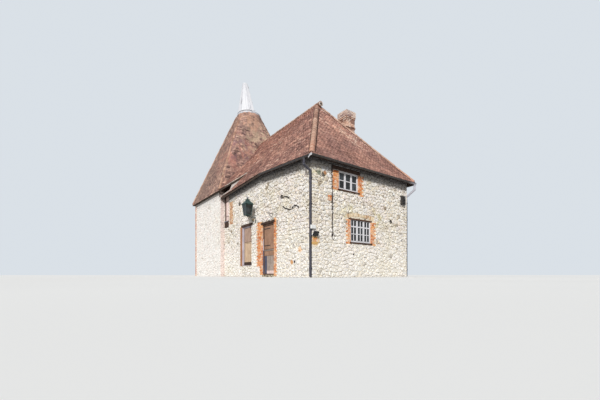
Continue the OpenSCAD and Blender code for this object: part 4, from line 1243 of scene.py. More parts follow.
def wall_stones():
    """Rubble and corner stones of every outer wall."""
    quoins = quoin_stones()
    doors = [(x, foot, x + w, head) for (x, w, _, head), foot in ((LEFT_DOOR, LEFT_DOOR[2]), (RIGHT_DOOR, 0))]
    hatch = (HATCH[0], HATCH[2] - 0.34, HATCH[0] + HATCH[1], HATCH[3])
    holes = doors + [hatch, LEFT_POST, HATCH_BRICKS] + [zone for zone, _ in FRONT_BRICKS]
    holes += [(u0 - 0.10, head, u1 + 0.10, head + 0.10) for u0, _, u1, head in doors]
    holes += [(X_END - w, z0, X_END + 0.1, z1) for w, _, z0, z1 in quoins]
    front_top = [(x, eave_height(x) + 0.150) for x in (X_END, CROWN_X, X_KILN)]
    stones("front_wall_stones", FRONT_FACE, [(X_KILN, 0.0), (X_END, 0.0)] + front_top, holes, 51)
    holes = [(y, z, y + w, z + h) for y, z, w, h in END_WINDOWS]
    holes += [(y - 0.05, z - 0.05, y + w + 0.05, z) for y, z, w, h in END_WINDOWS]
    holes += [zone for zone, _ in END_BRICKS] + [(ARCH[0] + 0.06, ARCH[1], ARCH[2] - 0.06, ARCH[3] - 0.10)]
    holes += [UPPER_LINTEL, DARK_HOLE, ORANGE_BRICK, OCHRE_BRICK]
    holes += [(Y_FRONT - 0.1, z0, Y_FRONT + d, z1) for _, d, z0, z1 in quoins]
    holes += [(Y_REAR - w, z0, Y_REAR + 0.1, z1) for w, _, z0, z1 in quoins]
    stones("end_wall_stones", END_FACE, wall_zone(Y_FRONT, Y_REAR, END_STONE_TOP), holes, 52)
    holes = [(-X_END - 0.1, z0, -X_END + d, z1) for _, d, z0, z1 in quoins]
    for x, z, w, h in REAR_WINDOWS:
        left, right = -x - w, -x
        holes += [(left, z, right, z + h), (left - 0.05, z - 0.05, right + 0.05, z)]
        holes += [(left - 0.04, z + h, right + 0.04, z + h + 0.1)]
    outline = wall_zone(-X_END, -X_KILN, REAR_STONE_TOP)
    stones("rear_wall_stones", REAR_FACE, outline, holes + REAR_BRICKS, 53)
    holes = [kiln_corner_zone(-X_FAR - BRICK_PITCH, -X_FAR + 0.1)]
    stones("kiln_rear_stones", REAR_FACE, wall_zone(-X_KILN, -X_FAR, KILN_STONE_TOP), holes, 54)
    holes = [kiln_corner_zone(X_FAR - 0.1, X_FAR + BRICK_PITCH)]
    outline = wall_zone(X_FAR, X_KILN, KILN_STONE_TOP)
    stones("kiln_front_stones", KILN_FRONT_FACE, outline, holes, 55, STONE_WASHED, (0.006, 0.018))
    outline = wall_zone(Y_KILN, Y_FRONT - 0.02, RETURN_STONE_TOP)
    stones("kiln_return_stones", KILN_RETURN_FACE, outline, [], 56, STONE_WASHED, (0.004, 0.012))
    holes = [kiln_corner_zone(-Y_REAR - 0.1, -Y_REAR + BRICK_PITCH)]
    holes += [kiln_corner_zone(-Y_KILN - BRICK_PITCH, -Y_KILN + 0.1)]
    stones("kiln_left_stones", KILN_LEFT_FACE, wall_zone(-Y_REAR, -Y_KILN, KILN_STONE_TOP), holes, 57)


def brick_rows(rows, face, zone, rng, teeth=(0.0, 0.0), keep=lambda p: True):
    """Adds courses of bricks over a zone of a wall face; teeth step in on every other course."""
    origin, normal = (Vector(v) for v in face)
    along = UP.cross(normal)
    axes = axes_of(along, UP)
    u0, v0, u1, v1 = zone
    count = max(1, round((v1 - v0) / BRICK_COURSE))
    height = (v1 - v0) / count
    for k in range(count):
        odd = k % 2
        a, b = u0 + teeth[0] * odd, u1 - teeth[1] * odd
        first = (BRICK_PITCH if odd else HALF_BRICK) if b - a > 0.25 else b - a
        edges = [a, a + first]
        while edges[-1] < b - 0.05:
            edges.append(min(b, edges[-1] + BRICK_PITCH))
        if b > edges[-1]:
            edges[-1] = b
        for e0, e1 in zip(edges, edges[1:]):
            if e1 - e0 < 0.025:
                continue
            p = origin + along * ((e0 + e1) / 2) + UP * (v0 + k * height + BRICK_GAP / 2)
            if keep(p):
                place = p - normal * rng.uniform(0.003, 0.006)
                size = ((e1 - e0 - BRICK_GAP) / BRICK_W, (height - BRICK_GAP) / BRICK_FACE, 1)
                rows.append((place, axes, size, rng.random()))


def reveal_rows(rows, face, edges, depth, z0, z1, rng):
    """Bricks on the sides of an opening; edges are (place along the face, way that the side looks)."""
    out = sum(a * b for a, b in zip(*face))
    along = UP.cross(Vector(face[1]))
    for u, way in edges:
        zone = (-out, z0, depth - out, z1) if way > 0 else (out - depth, z0, out, z1)
        brick_rows(rows, (along * u, along * way), zone, rng)


def lay_bricks(name, rows, seed, finish=BRICK):
    lay_pieces(name, unit_brick(), rows, (BRICK_W, BRICK_FACE, BRICK_T), 0.6, seed, finish)


def arch_rows(rng):
    """Bricks on end over the lower end window, in a flat arch."""
    rows, count = [], 15
    y0, z0, y1, _ = ARCH
    for k in range(count):
        t = (k + 0.5) / count
        lift = 0.13 * (1 - (2 * t - 1) ** 2) + rng.uniform(-0.012, 0.012)
        c, s = math.cos((t - 0.5) * 0.6), math.sin((t - 0.5) * 0.6)
        axes = axes_of(Vector((0, c, -s)), Vector((0, s, c)))
        width = (y1 - y0) / count - rng.uniform(0.010, 0.026)
        place = Vector((X_END - 0.004, y0 + t * (y1 - y0), z0 + 0.02 + lift))
        size = (width / BRICK_W, rng.uniform(0.15, 0.19) / BRICK_FACE, 1)
        rows.append((place, axes, size, rng.random()))
    return rows


def wall_bricks():
    """Jambs, corners, reveals and the arch, and the hole in the end wall."""
    rng, rows = random.Random(61), []
    for zone, teeth in FRONT_BRICKS:
        brick_rows(rows, FRONT_FACE, zone, rng, teeth)
    corner = (X_FAR, BRICK_FOOT, X_FAR + BRICK_PITCH, KILN_BRICK_TOP)
    brick_rows(rows, KILN_FRONT_FACE, corner, rng, (0, 0.06))
    x, w, _, head = RIGHT_DOOR
    reveal_rows(rows, FRONT_FACE, ((x, 1), (x + w, -1)), DOOR_REVEAL, BRICK_FOOT, head, rng)
    lay_bricks("front_bricks", rows, 61)
    rows = []
    brick_rows(rows, FRONT_FACE, HATCH_BRICKS, rng, (0.04, 0.10))
    lay_bricks("hatch_bricks", rows, 65, BROWN_BRICK)
    rows = []
    for zone, teeth in END_BRICKS:
        brick_rows(rows, END_FACE, zone, rng, teeth)
    for y, z, w, h in END_WINDOWS:
        reveal_rows(rows, END_FACE, ((y, 1), (y + w, -1)), WINDOW_REVEAL, z, z + h, rng)
    for zone in (ORANGE_BRICK, OCHRE_BRICK):
        brick_rows(rows, END_FACE, zone, rng)
    lay_bricks("end_bricks", rows, 62)
    rows = []
    for zone in REAR_BRICKS:
        brick_rows(rows, REAR_FACE, zone, rng, (0.04, 0.04))
    for face, u, step, teeth in (
        (REAR_FACE, -X_FAR, -BRICK_PITCH, (0.06, 0)), (KILN_LEFT_FACE, -Y_REAR, BRICK_PITCH, (0, 0.06)),
        (KILN_LEFT_FACE, -Y_KILN, -BRICK_PITCH, (0.06, 0)),
    ):
        zone = (min(u, u + step), BRICK_FOOT, max(u, u + step), KILN_BRICK_TOP)
        brick_rows(rows, face, zone, rng, teeth)
    for x, z, w, h in REAR_WINDOWS:
        reveal_rows(rows, REAR_FACE, ((-x, -1), (-x - w, 1)), WINDOW_REVEAL, z, z + h, rng)
    lay_bricks("rear_bricks", rows, 63)
    lay_bricks("window_arch_bricks", arch_rows(rng), 64, PALE_BRICK)
    # The hole is a dark solid, painted shade; its rim is turned about an upright axis, and then laid into the
    # wall
    hole = Shape()
    y0, z0, y1, z1 = DARK_HOLE
    hole.turned([(0.075, -0.01), (0.08, 0.012), (0.055, 0.014), (0.05, -0.004)], (0, 0, 0), 12, 0.3)
    hole.points = [Vector((X_END + p.z, (y0 + y1) / 2 + p.x, (z0 + z1) / 2 + p.y * 1.2)) for p in hole.points]
    hole.piece("vent_hole", [HOLE_SHADE], "rubble_stone")


def chimney():
    """Brick faces of the stack, its band and its wide cap."""
    rng, stack, cap = random.Random(81), [], []

    def above_roof(p):
        return p.z > roof_height(p.x, p.y) - 0.12

    # Rings of courses: half width, bottom and top, and the range of their shades. The courses just under the
    # band and under the cap keep to dark shades, a painted shadow under their overhang.
    for kept, half, z0, z1, dark, light in (
        (stack, 0.295, 6.00, 7.47, 0.0, 1.0), (stack, 0.295, 7.47, 7.62, 0.0, 0.2),
        (stack, 0.320, 7.63, 7.705, 0.0, 1.0), (stack, 0.295, 7.715, 7.94, 0.0, 1.0),
        (stack, 0.295, 7.94, 8.09, 0.0, 0.2), (stack, 0.315, 8.10, 8.175, 0.0, 0.4),
        (cap, 0.335, 8.175, 8.475, 0.0, 1.0),
    ):
        for way in ((1, 0, 0), (-1, 0, 0), (0, 1, 0), (0, -1, 0)):
            rows = []
            face = (Vector((STACK_X, STACK_Y, 0)) + Vector(way) * half, way)
            brick_rows(rows, face, (-half, z0, half, z1), rng, keep=above_roof)
            kept.extend((p, axes, size, dark + (light - dark) * tone) for p, axes, size, tone in rows)
    lay_bricks("chimney_bricks", stack, 81, STACK_BRICK)
    lay_bricks("chimney_cap_bricks", cap, 82, CAP_BRICK)


def cowl():
    """Tapered white boards of the turning cowl, with hoops inside."""
    shape, rng = Shape(), random.Random(91)
    turn = Matrix.Translation((KILN_X, KILN_Y, COWL_Z)) @ Matrix.Rotation(COWL_BEARING, 4, "Z")
    count, levels, thick, gap = 28, 5, 0.022, 0.0035
    (cut_x, cut_z), (head_x, head_z) = COWL_CUT
    slant = (head_x - cut_x) / (head_z - cut_z)

    def radius(t):
        return COWL_R + (COWL_TIP_R - COWL_R) * t

    def at(angle, t, inset):
        r = radius(t) - inset
        return Vector((-COWL_LEAN * t + r * math.cos(angle), r * math.sin(angle), COWL_H * t))

    def first(angle):
        """Share of the height where the board along this line starts."""
        over = COWL_R * math.cos(angle) - cut_x + cut_z * slant
        fall = (COWL_R - COWL_TIP_R) * math.cos(angle) + COWL_LEAN + slant * COWL_H
        if over <= 0:
            return 0.0
        return min(head_z / COWL_H, over / fall if fall > 0 else 1.0)

    for i in range(count):
        tone, points = rng.random(), []
        outer = 0.002 * (tone - 0.5)
        for level in range(levels):
            edges = []
            for a, way in ((2 * math.pi * i / count, 1), (2 * math.pi * (i + 1) / count, -1)):
                t = first(a) + (0.998 - first(a)) * level / (levels - 1)
                edges.append((a + way * gap / max(radius(t), 0.05), t))
            points += [at(*edges[k], inset) for k, inset in ((0, outer), (1, outer), (1, thick), (0, thick))]
        shape.add(points, skin(levels, 4), tone, 0, turn)
    sweep = [math.radians(d) for d in range(54, 307, 9)]
    for t, width in ((0.02, 0.05), (0.30, 0.04), (0.60, 0.04)):
        top = t + width / COWL_H
        section = ((t, 0.002), (top, 0.002), (top, 0.03), (t, 0.03))
        points = [at(a, height, thick + inset) for a in sweep for height, inset in section]
        shape.add(points, flipped(skin(len(sweep), 4)), 0.3, 0, turn)
    points = [at(a, t, 0.004) for t in (0.985, 0.9999) for a in circle(14)]
    shape.add(points, skin(2, 14), 0.6, 0, turn)
    shape.piece("cowl_boards", [WHITE_BOARDS], "white_boards", "turning_cowl", ["cowl"])


def gutter_details():
    """Brackets of the gutters, clips of the downpipes and the pale joint at the near end."""
    rows, spacing = [], 0.85
    for start, end in (
        (Vector((4.30, -3.178, 4.433)), Vector((0.75, -3.178, 4.7074))),
        (Vector((4.488, -3.0, 4.443)), Vector((4.488, 3.0, 4.443))),
        (Vector((4.1, 3.178, 4.443)), Vector((-4.0, 3.178, 4.443))),
    ):
        along = (end - start).normalized()
        side = UP.cross(along).normalized()
        axes = axes_of(along, side)
        count = int((end - start).length / spacing)
        rows += [(start + (end - start) * (k / count), axes, (1, 1, 1), 0.5) for k in range(count + 1)]
    sizes = (0.03, 0.0585, 0.0585)
    lay_pieces("gutter_brackets", unit_bracket(), rows, sizes, 0.0, 101, GUTTER)
    clips = Shape()
    hoop = [(0.0485, -0.03), (0.056, -0.03), (0.056, 0.03), (0.0485, 0.03)]
    for x, y, wall, top in ((4.125, -2.932, Y_FRONT, 3.7), (4.12, 2.932, Y_REAR, 3.55)):
        for z in (0.35, 1.55, 2.75, top):
            clips.turned(hoop, (x, y, z))
            clips.block((x - 0.075, min(wall, y), z - 0.02), (x + 0.054, max(wall, y), z + 0.02), 0.003)
    clips.beam((4.385, -3.236, 4.31), (4.545, -3.236, 4.40), 0.016, 0.042, UP, 0.004, 0.5, 1)
    clips.block((4.515, -3.245, 4.350), (4.556, -3.205, 4.430), 0.008, 0.5, 1)
    clips.piece("pipe_clips", [PIPE_PAINT, WINDOW_PAINT], "gutter_grey", smooth=40)


def boards(shape, xs, ys, zs, count, rng, tones=(0.3, 0.8), finish=0):
    """Upright boards side by side, between pairs of x, y and z."""
    width, gap = (xs[1] - xs[0]) / count, 0.004
    for k in range(count):
        low = (xs[0] + k * width + gap / 2, ys[0] + rng.uniform(0, 0.002), zs[0] + rng.uniform(0, 0.003))
        high = (xs[0] + (k + 1) * width - gap / 2, ys[1], zs[1] - rng.uniform(0, 0.003))
        shape.block(low, high, 0.004, rng.uniform(*tones), finish)


def door_leaves(rng):
    """Facing boards, ledges and ironwork of the four door leaves."""
    face = Y_FRONT + 0.105
    ys = (face - 0.018, face)
    back, proud = face - 0.017, face - 0.026  # of what is fixed to the boards

    (x, w, _, _), leaf = LEFT_DOOR, Shape()
    x0, x1 = x + 0.086, x + w - 0.086
    boards(leaf, (x0, x1), ys, (1.796, 2.514), 6, rng)
    leaf.block((x1 - 0.13, proud, 1.98), (x1 - 0.09, back, 2.10), 0.002, 0.2, 1)
    knob = [(0.010, 0), (0.022, 0.006), (0.022, 0.02), (0.008, 0.03)]
    leaf.turned(knob, (x1 - 0.11, face - 0.04, 2.03), 12, 0.2, 1)
    leaf.block((x1 - 0.09, face - 0.0205, 1.93), (x1 - 0.04, back, 2.00), 0.001, 0.2, 2)
    leaf.piece("left_upper_boards", [LEFT_UPPER_WOOD, IRON, BRICK], "door_planks", "left_upper_door")
    leaf = Shape()
    boards(leaf, (x0, x1), ys, (0.76, 1.77), 6, rng)
    leaf.block((x0, face - 0.030, 0.616), (x1, face, 0.755), 0.006, 0.1, 1)
    leaf.block((x0, face - 0.028, 1.715), (x1, back, 1.772), 0.004, 0.3)
    leaf.piece("left_lower_boards", [LEFT_LOWER_WOOD, DARK_TIMBER], "door_planks", "left_lower_door")
    (x, w, _, _), leaf = RIGHT_DOOR, Shape()
    x0, x1 = x + 0.086, x + w - 0.086
    boards(leaf, (x0, x1), ys, (1.286, 2.364), 5, rng)
    for z in (1.44, 2.22):
        leaf.block((x0 + 0.01, proud, z), (x0 + 0.52, back, z + 0.04), 0.002, 0.3, 1)
    leaf.piece("right_upper_boards", [RIGHT_UPPER_WOOD, IRON], "door_planks", "right_upper_door")
    leaf, split = Shape(), x0 + 0.22
    boards(leaf, (split, x1), ys, (0.30, 0.98), 4, rng, (0.35, 0.9))
    boards(leaf, (x0, split), ys, (0.156, 0.98), 1, rng, (0.3, 0.4), 2)
    boards(leaf, (split, x1), (face - 0.022, face), (0.156, 0.30), 1, rng, (0.9, 1.0), 3)
    leaf.block((x0, face - 0.024, 0.985), (x1, face, 1.205), 0.005, 0.5, 1)
    finishes = [RIGHT_LOWER_WOOD, RIGHT_UPPER_WOOD, SLATE_PAINT, HATCH_WOOD]
    leaf.piece("right_lower_boards", finishes, "door_planks", "right_lower_door")


def door_trims(rng):
    """Facings of both door frames, their lintels and the post beside the left door."""
    trim, y = Shape(), Y_FRONT + 0.06

    def facing(x0, x1, z0, z1, tone, finish):
        trim.block((x0, y - 0.014, z0), (x1, y, z1), 0.004, tone, finish)

    for (x, w, sill, head), finish, right in ((LEFT_DOOR, 0, 2), (RIGHT_DOOR, 1, 1)):
        top, x1 = head - 0.004, x + w
        # On the right door the left facing is slate low down, lilac in the middle and dark above 1.78 m; that
        # dark paint is a painted shadow of plants
        for z0, z1, paint in ((sill + 0.042, 1.24, 4), (1.24, 1.78, 0), (1.78, top, 1)):
            facing(x + 0.004, x + 0.062, z0, z1, 0.5, paint if finish else 0)
        facing(x1 - 0.062, x1 - 0.004, sill + 0.042, top, 0.4, right)
        facing(x + 0.062, x1 - 0.062, head - 0.062, top, 0.4, finish)
        low, high = (x - 0.10, Y_FRONT - 0.018, head - 0.012), (x1 + 0.10, y - 0.001, head + 0.10)
        trim.block(low, high, 0.008, 0.4, 3)
    x, w, sill, head = LEFT_DOOR
    for low in (x, x + w - 0.010):
        trim.block((low, Y_FRONT + 0.002, sill + 0.002), (low + 0.010, y - 0.001, head - 0.013), 0.003, 0.6)
    x0, z0, x1, z1 = LEFT_POST
    post_ys = (Y_FRONT - 0.016, Y_FRONT + 0.04)
    boards(trim, (x0 + 0.004, x1 + 0.002), post_ys, (z0, z1), 2, rng, (0.4, 0.7), 2)
    paints = [LEFT_FRAME_PAINT, RIGHT_FRAME_PAINT, POST_WOOD, DARK_TIMBER, SLATE_PAINT]
    trim.piece("door_trims", paints, "door_frame_paint")


def hatch():
    """Boards of the high hatch, with its straps, its sill and its apron."""
    x, w, z0, z1 = HATCH
    x1, y, zs = x + w, Y_FRONT + 0.04, (z0 + 0.048, z1 - 0.05)
    rng, shape = random.Random(121), Shape()
    boards(shape, (x + 0.13, x1 - 0.048), (y - 0.016, y), zs, 3, rng, (0.6, 1.0))
    # The dark left board and the dark posts: partly the frame, partly painted shade of the hatch's reveal
    boards(shape, (x + 0.048, x + 0.128), (y - 0.010, y), zs, 1, rng, (0.5, 0.6), 1)
    for z in (z0 + 0.30, z1 - 0.34):
        shape.block((x + 0.14, y - 0.021, z), (x1 - 0.10, y - 0.015, z + 0.030), 0.002, 0.3, 2)
    for left in (x + 0.001, x1 - 0.042):
        low, high = (left, Y_FRONT - 0.002, z0 + 0.038), (left + 0.041, Y_FRONT + 0.010, z1 - 0.002)
        shape.block(low, high, 0.003, 0.5, 1)
    low, high = (x + 0.002, Y_FRONT - 0.064, z0 - 0.003), (x1 - 0.002, Y_FRONT + 0.008, z0 + 0.039)
    shape.block(low, high, 0.005, 0.5, 3)
    shape.piece("hatch_facing", [HATCH_WOOD, HATCH_POST_AND_SHADE, IRON, SILL_PAINT], "white_boards")
    apron, ys = Shape(), (Y_FRONT - 0.042, Y_FRONT - 0.028)
    boards(apron, (x + 0.006, x1 - 0.006), ys, (z0 - 0.325, z0 - 0.006), 3, rng, (0.2, 0.6))
    apron.piece("hatch_apron_boards", [DARK_TIMBER], "door_planks")


def window_lintels():
    """Timber over the windows, with a packing piece beside the upper one of the end wall."""
    shape = Shape()
    y0, z0, y1, z1 = UPPER_LINTEL
    shape.block((X_END - 0.029, y0, z0 - 0.006), (X_END + 0.014, y1, z1), 0.008, 0.45)
    y1 = END_WINDOWS[0][0] - 0.01
    shape.block((X_END - 0.03, y0, z0 - 0.055), (X_END + 0.012, y1, z0 - 0.008), 0.006, 0.6)
    y, z, w, h = END_WINDOWS[1]
    low, high = (X_END - 0.029, y - 0.12, z + h - 0.056), (X_END + 0.012, y + w + 0.06, z + h + 0.002)
    shape.block(low, high, 0.008, 0.7, 1)
    for x, z, w, h in REAR_WINDOWS:
        low, high = (x - 0.03, Y_REAR - 0.029, z + h - 0.01), (x + w + 0.03, Y_REAR + 0.014, z + h + 0.09)
        shape.block(low, high, 0.008, 0.4)
    shape.piece("window_lintels", [DARK_TIMBER, SILL_TIMBER], "door_planks")


def window_bars():
    """Glazing bars and putty beads in the three lights of every window."""
    bars, frame_w, bead, half_bar = Shape(), 0.05, 0.02, 0.013
    deep, shallow = 0.063, 0.032  # back and front of the bars, in from the wall's face

    def lights(start, z, w, h, upright, levels, place):
        """Beads and bars of three lights; place gives x, y, z from along, height and depth in the wall."""
        width = (w - 4 * frame_w) / 3
        z0, z1 = z + frame_w, z + h - frame_w
        for i in range(3):
            a = start + frame_w + i * (width + frame_w)
            b = a + width
            strips = [(a, z0, a + bead, z1), (b - bead, z0, b, z1)]
            strips += [(a, z0, b, z0 + bead), (a, z1 - bead, b, z1)]
            for k in range(upright):
                m = a + width * (k + 1) / (upright + 1)
                strips.append((m - half_bar, z0, m + half_bar, z1))
            for k in range(levels):
                m = z0 + (z1 - z0) * (k + 1) / (levels + 1)
                strips.append((a, m - half_bar, b, m + half_bar))
            for u0, v0, u1, v1 in strips:
                corners = place(u0, v0, deep), place(u1, v1, shallow)
                low, high = ([pick(pair) for pair in zip(*corners)] for pick in (min, max))
                bars.block(low, high)

    def on_end(along, height, depth):
        return X_END - depth, along, height

    def on_rear(along, height, depth):
        return along, Y_REAR - depth, height

    for windows, place in ((END_WINDOWS, on_end), (REAR_WINDOWS, on_rear)):
        lights(*windows[0], 0, 1, place)
        lights(*windows[1], 1, 2, place)
    bars.piece("window_bars", [WINDOW_PAINT], "white_boards")


def lantern():
    """Four-sided wall lantern on its bracket."""
    x, y, z = LANTERN
    s = Shape()

    def bar(low, high, low_half, high_half, size, a, b, up=UP):
        """A bar from one corner of the lantern to another, at two heights and half widths."""
        start = (x + a[0] * low_half, y + a[1] * low_half, z + low)
        s.beam(start, (x + b[0] * high_half, y + b[1] * high_half, z + high), size, size, up)

    for corner in SQUARE:
        bar(0, 0.50, 0.130, 0.188, 0.022, corner, corner, (*corner, 0.1))
    for a, b in round_pairs(SQUARE):
        for half, lift, size in ((0.131, 0.012, 0.024), (0.187, 0.49, 0.026), (0.162, 0.29, 0.012)):
            bar(lift, lift, half, half, size, a, b)
    for corner in SQUARE:
        bar(0.522, 0.682, 0.222, 0.086, 0.016, corner, corner)
    for low_half, high_half, low, high in (
        (0.132, 0.140, -0.012, 0.004), (0.196, 0.226, 0.502, 0.515), (0.226, 0.085, 0.515, 0.675),
        (0.085, 0.070, 0.675, 0.735), (0.092, 0.060, 0.735, 0.760),
    ):
        s.tapered(low_half, high_half, z + low, z + high, (x, y))
    s.turned([(0.052, 0.76), (0.040, 0.79), (0.022, 0.80), (0.022, 0.815)], (x, y, z), 16)
    knob = [(0.012, 0.812), (0.034, 0.820), (0.046, 0.836), (0.046, 0.852), (0.034, 0.872)]
    s.turned(knob + [(0.014, 0.886), (0.004, 0.893)], (x, y, z), 16, 0.5, 3)
    s.turned([(0.012, -0.09), (0.028, -0.07), (0.030, -0.04), (0.018, -0.02), (0.05, -0.005)], (x, y, z), 16)
    for sx, sy in ((0, -1), (0, 1), (-1, 0), (1, 0)):
        points = []
        for half, lift in ((0.118, 0.03), (0.176, 0.47)):
            for side, depth in ((-half, 0.0), (half, 0.0), (half, 0.004), (-half, 0.004)):
                off = half + 0.008 - depth
                dx, dy = sx * off + abs(sy) * side, sy * off + abs(sx) * side
                points.append(Vector((x + dx, y + dy, z + lift)))
        middle = sum(points, Vector()) / len(points)
        s.add(points, outward([p - middle for p in points], skin(2, 4)), 0.5, 1)
    bulb = [(0.030, 0.06), (0.042, 0.12), (0.046, 0.20), (0.034, 0.28), (0.012, 0.33)]
    s.turned(bulb, (x, y, z), 14, 0.9, 2)
    s.beam((x, y + 0.01, z - 0.050), (x, Y_FRONT, z - 0.050), 0.026, 0.026)
    s.block((x - 0.045, Y_FRONT - 0.016, z - 0.33), (x + 0.045, Y_FRONT - 0.002, z + 0.09))
    curl = []
    for t in (k / 18 for k in range(19)):
        curl.append((x, Y_FRONT - 0.012 - 0.33 * t, z - 0.29 + 0.22 * t - 0.075 * math.sin(math.pi * t)))
    s.tube(curl, 0.010)
    s.tube([(x - 0.20, y - 0.02, z - 0.025), (x + 0.20, y - 0.02, z - 0.025)], 0.008)
    finishes = [LANTERN_PAINT, GLASS, WHITE_PLASTIC, SILL_PAINT]
    s.piece("lantern", finishes, "lantern_paint", replaced=["wall_lantern"], smooth=35)


def lamps():
    """Floodlight, its box and the end lamp."""
    s = Shape()
    turn = Matrix.Translation((X_END + 0.105, -2.80, 1.63)) @ Matrix.Rotation(math.radians(35), 4, "Y")
    s.block((-0.040, -0.105, -0.090), (0.030, 0.105, 0.090), 0.010, 0.5, 0, turn)
    s.block((0.030, -0.104, -0.090), (0.044, 0.104, 0.090), 0.004, 0.5, 0, turn)
    s.block((0.040, -0.085, -0.072), (0.0465, 0.085, 0.072), 0.002, 0.5, 1, turn)
    for k in range(6):
        v = -0.07 + k * 0.028
        s.block((-0.052, -0.095, v - 0.004), (-0.038, 0.095, v + 0.004), 0.002, 0.4, 0, turn)
    s.block((X_END, -2.828, 1.632), (X_END + 0.058, -2.772, 1.709))
    s.block((X_END + 0.001, -2.989, 1.801), (X_END + 0.071, -2.761, 1.949), 0.012, 0.6, 2)
    s.block((X_END + 0.069, -2.975, 1.815), (X_END + 0.0745, -2.775, 1.935), 0.002, 0.6, 2)
    s.block((X_END + 0.001, 1.785, 3.745), (X_END + 0.030, 1.875, 3.845), 0.006, 0.6)
    bowl = [(0.010, 0.0), (0.040, 0.006), (0.046, 0.03), (0.040, 0.075), (0.020, 0.098)]
    s.turned(bowl, (X_END + 0.043, 1.83, 3.744), 16, 0.8, 2)
    finishes = [BLACK_PLASTIC, GLASS, WHITE_PLASTIC]
    s.piece("wall_light_fittings", finishes, "dark_iron", replaced=["wall_lights"])


def conduit_fittings():
    """The conduit's clips, its run of pipe, the loop of spare pipe and its loose end."""
    s, y = Shape(), -1.92
    for z in (4.15, 3.55, 2.95, 2.4, 1.9):
        s.block((X_END, y - 0.032, z - 0.012), (X_END + 0.030, y + 0.032, z + 0.012), 0.003)
    loop = [(X_END + 0.02, y + 0.06 + 0.065 * math.sin(a), 1.60 + 0.115 * math.cos(a)) for a in circle(20)]
    s.tube(loop + loop[:1], 0.010, 8)
    loose = ((0.06, 1.485), (0.12, 1.44), (0.16, 1.40))
    s.tube([(X_END + 0.014, y + along, z) for along, z in loose], 0.010, 8)
    run = ((-1.96, 4.34), (-1.955, 4.0), (-1.93, 3.6), (-1.905, 3.1), (-1.91, 2.6), (-1.925, 2.1))
    s.tube([(X_END + 0.034, along, z) for along, z in (*run, (y, 1.70))], 0.014, 8)
    s.piece("conduit_fittings", [IRON], "dark_iron")


def iron_bars():
    """Tubes over the curved wall irons: x, z and radius of each arc, with its first and last angle."""
    s, steps = Shape(), 14
    for x, z, r, first, last in (
        (2.33, 2.942, 0.439, -109, -42), (2.105, 3.415, 0.062, 40, 340),
        (2.939, 4.059, 1.300, 96.7, 124.4), (3.08, 2.561, 0.310, -132, -40),
    ):
        angles = [math.radians(first + (last - first) * k / steps) for k in range(steps + 1)]
        s.tube([(x + r * math.cos(a), Y_FRONT - 0.036, z - r * math.sin(a)) for a in angles], 0.020, 8)
    s.piece("iron_bars", [IRON], "dark_iron")


def dress_solids():
    """Gives every carried-over solid its finish."""
    finishes = {
        MORTAR: [
            "front_wall_left", "front_wall_over_left_door", "front_wall_between_doors",
            "front_wall_over_right_door", "front_wall_right", "end_wall", "rear_wall", "kiln_left_wall",
            "kiln_rear_wall", "kiln_inner_wall",
        ],
        MORTAR_WASHED: ["kiln_front_wall"],
        STACK_BED: ["chimney_stack", "chimney_cap"],
        SCREED: ["ground_floor", "kiln_floor"],
        FLOOR_BOARDS: ["upper_floor", "cowl_beam"],
        ROOF_BED: [
            "roof_front", "roof_end", "roof_rear", "valley_skirt", "kiln_slope_front", "kiln_slope_right",
            "kiln_slope_rear", "kiln_slope_left",
        ],
        CAPPING: ["ridge_tiles", "hip_tiles", "kiln_hip_tiles"],
        GUTTER: ["gutters", "louvre_box"],
        PIPE_PAINT: ["downpipes"],
        LEFT_FRAME_PAINT: ["left_door_frame"],
        RIGHT_FRAME_PAINT: ["right_door_frame"],
        LEFT_LOWER_WOOD: ["left_door_lower_leaf"],
        LEFT_UPPER_WOOD: ["left_door_upper_leaf"],
        RIGHT_LOWER_WOOD: ["right_door_lower_leaf"],
        RIGHT_UPPER_WOOD: ["right_door_upper_leaf"],
        WINDOW_PAINT: ["end_window_frames", "rear_window_frames"],
        GLASS: ["end_window_glass", "rear_window_glass"],
        SILL_TIMBER: ["window_sills"],
        HATCH_POST_AND_SHADE: ["hatch_frame"],
        HATCH_WOOD: ["hatch_boards"],
        IRON: ["wall_irons", "wall_conduit"],
        LANTERN_PAINT: ["wall_lantern"],
        BLACK_PLASTIC: ["wall_lights"],
        WHITE_BOARDS: ["cowl", "cowl_curb", "cowl_spindle"],
    }
    for finish, names in finishes.items():
        for name in names:
            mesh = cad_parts[name].data
            mesh.materials.clear()
            mesh.materials.append(finish)
            for polygon in mesh.polygons:
                polygon.material_index = 0


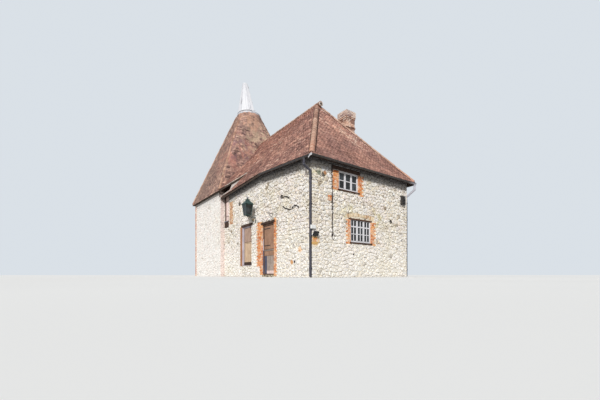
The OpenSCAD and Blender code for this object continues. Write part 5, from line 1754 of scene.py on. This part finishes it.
def stage():
    """Pale floor and backdrop, one sun and the camera."""
    scene, floor_reach = bpy.context.scene, 300
    floor_mesh = bpy.data.meshes.new("floor")
    floor_mesh.from_pydata([(floor_reach * a, floor_reach * b, 0) for a, b in SQUARE], [], [[0, 1, 2, 3]])
    ground = Finish("pale floor", 0.95, specular=0.0)
    pale = ground.ramp(ground.noise(0.15, 2), (0.3, (236, 236, 234)), (0.7, (240, 240, 238)))
    seen = ground.mix(ground.seen_directly(), (172, 170, 166), pale)
    ground.feed(ground.shader["Base Color"], seen)
    floor_mesh.materials.append(ground.material)
    floor = bpy.data.objects.new("floor", floor_mesh)
    scene.collection.objects.link(floor)

    sun = bpy.data.lights.new("key", "SUN")
    sun.energy = 2.95
    sun.angle = math.radians(4)
    lamp = bpy.data.objects.new("key", sun)
    lamp.rotation_mode = "QUATERNION"
    lamp.rotation_quaternion = Vector((0.585, -0.645, 0.49)).to_track_quat("Z", "Y")
    scene.collection.objects.link(lamp)

    scene.world = bpy.data.worlds.new("studio")
    scene.world.use_nodes = True
    sky = Nodes(scene.world.node_tree)
    sky.tree.nodes.clear()
    soft = sky.node("ShaderNodeBackground", {0: (0.95, 0.97, 1.0, 1), 1: 0.48})
    backdrop = sky.node("ShaderNodeBackground", {0: (0.70, 0.75, 0.80, 1), 1: 1.0})
    shown = sky.node("ShaderNodeMixShader", {0: sky.seen_directly(), 1: soft, 2: backdrop})
    sky.tree.links.new(shown, sky.tree.nodes.new("ShaderNodeOutputWorld").inputs[0])

    lens = bpy.data.cameras.new("view")
    lens.lens, lens.sensor_width, lens.shift_y = 18.56, 36, 0.1248
    camera = bpy.data.objects.new("view", lens)
    camera.location = (13.18, -9.98, 0.1)
    camera.rotation_euler = (math.radians(90), 0, math.atan2(0.8093, 0.5873))
    scene.collection.objects.link(camera)
    scene.camera = camera
    scene.view_settings.view_transform = "Standard"


stage()
dress_solids()
wall_stones()
wall_bricks()
main_roof_tiles()
skirt_tiles()
valley_lead()
kiln_tiles()
all_cappings()
chimney()
cowl()
gutter_details()
door_chances = random.Random(111)
door_leaves(door_chances)
door_trims(door_chances)
hatch()
window_lintels()
window_bars()
lantern()
lamps()
conduit_fittings()
iron_bars()
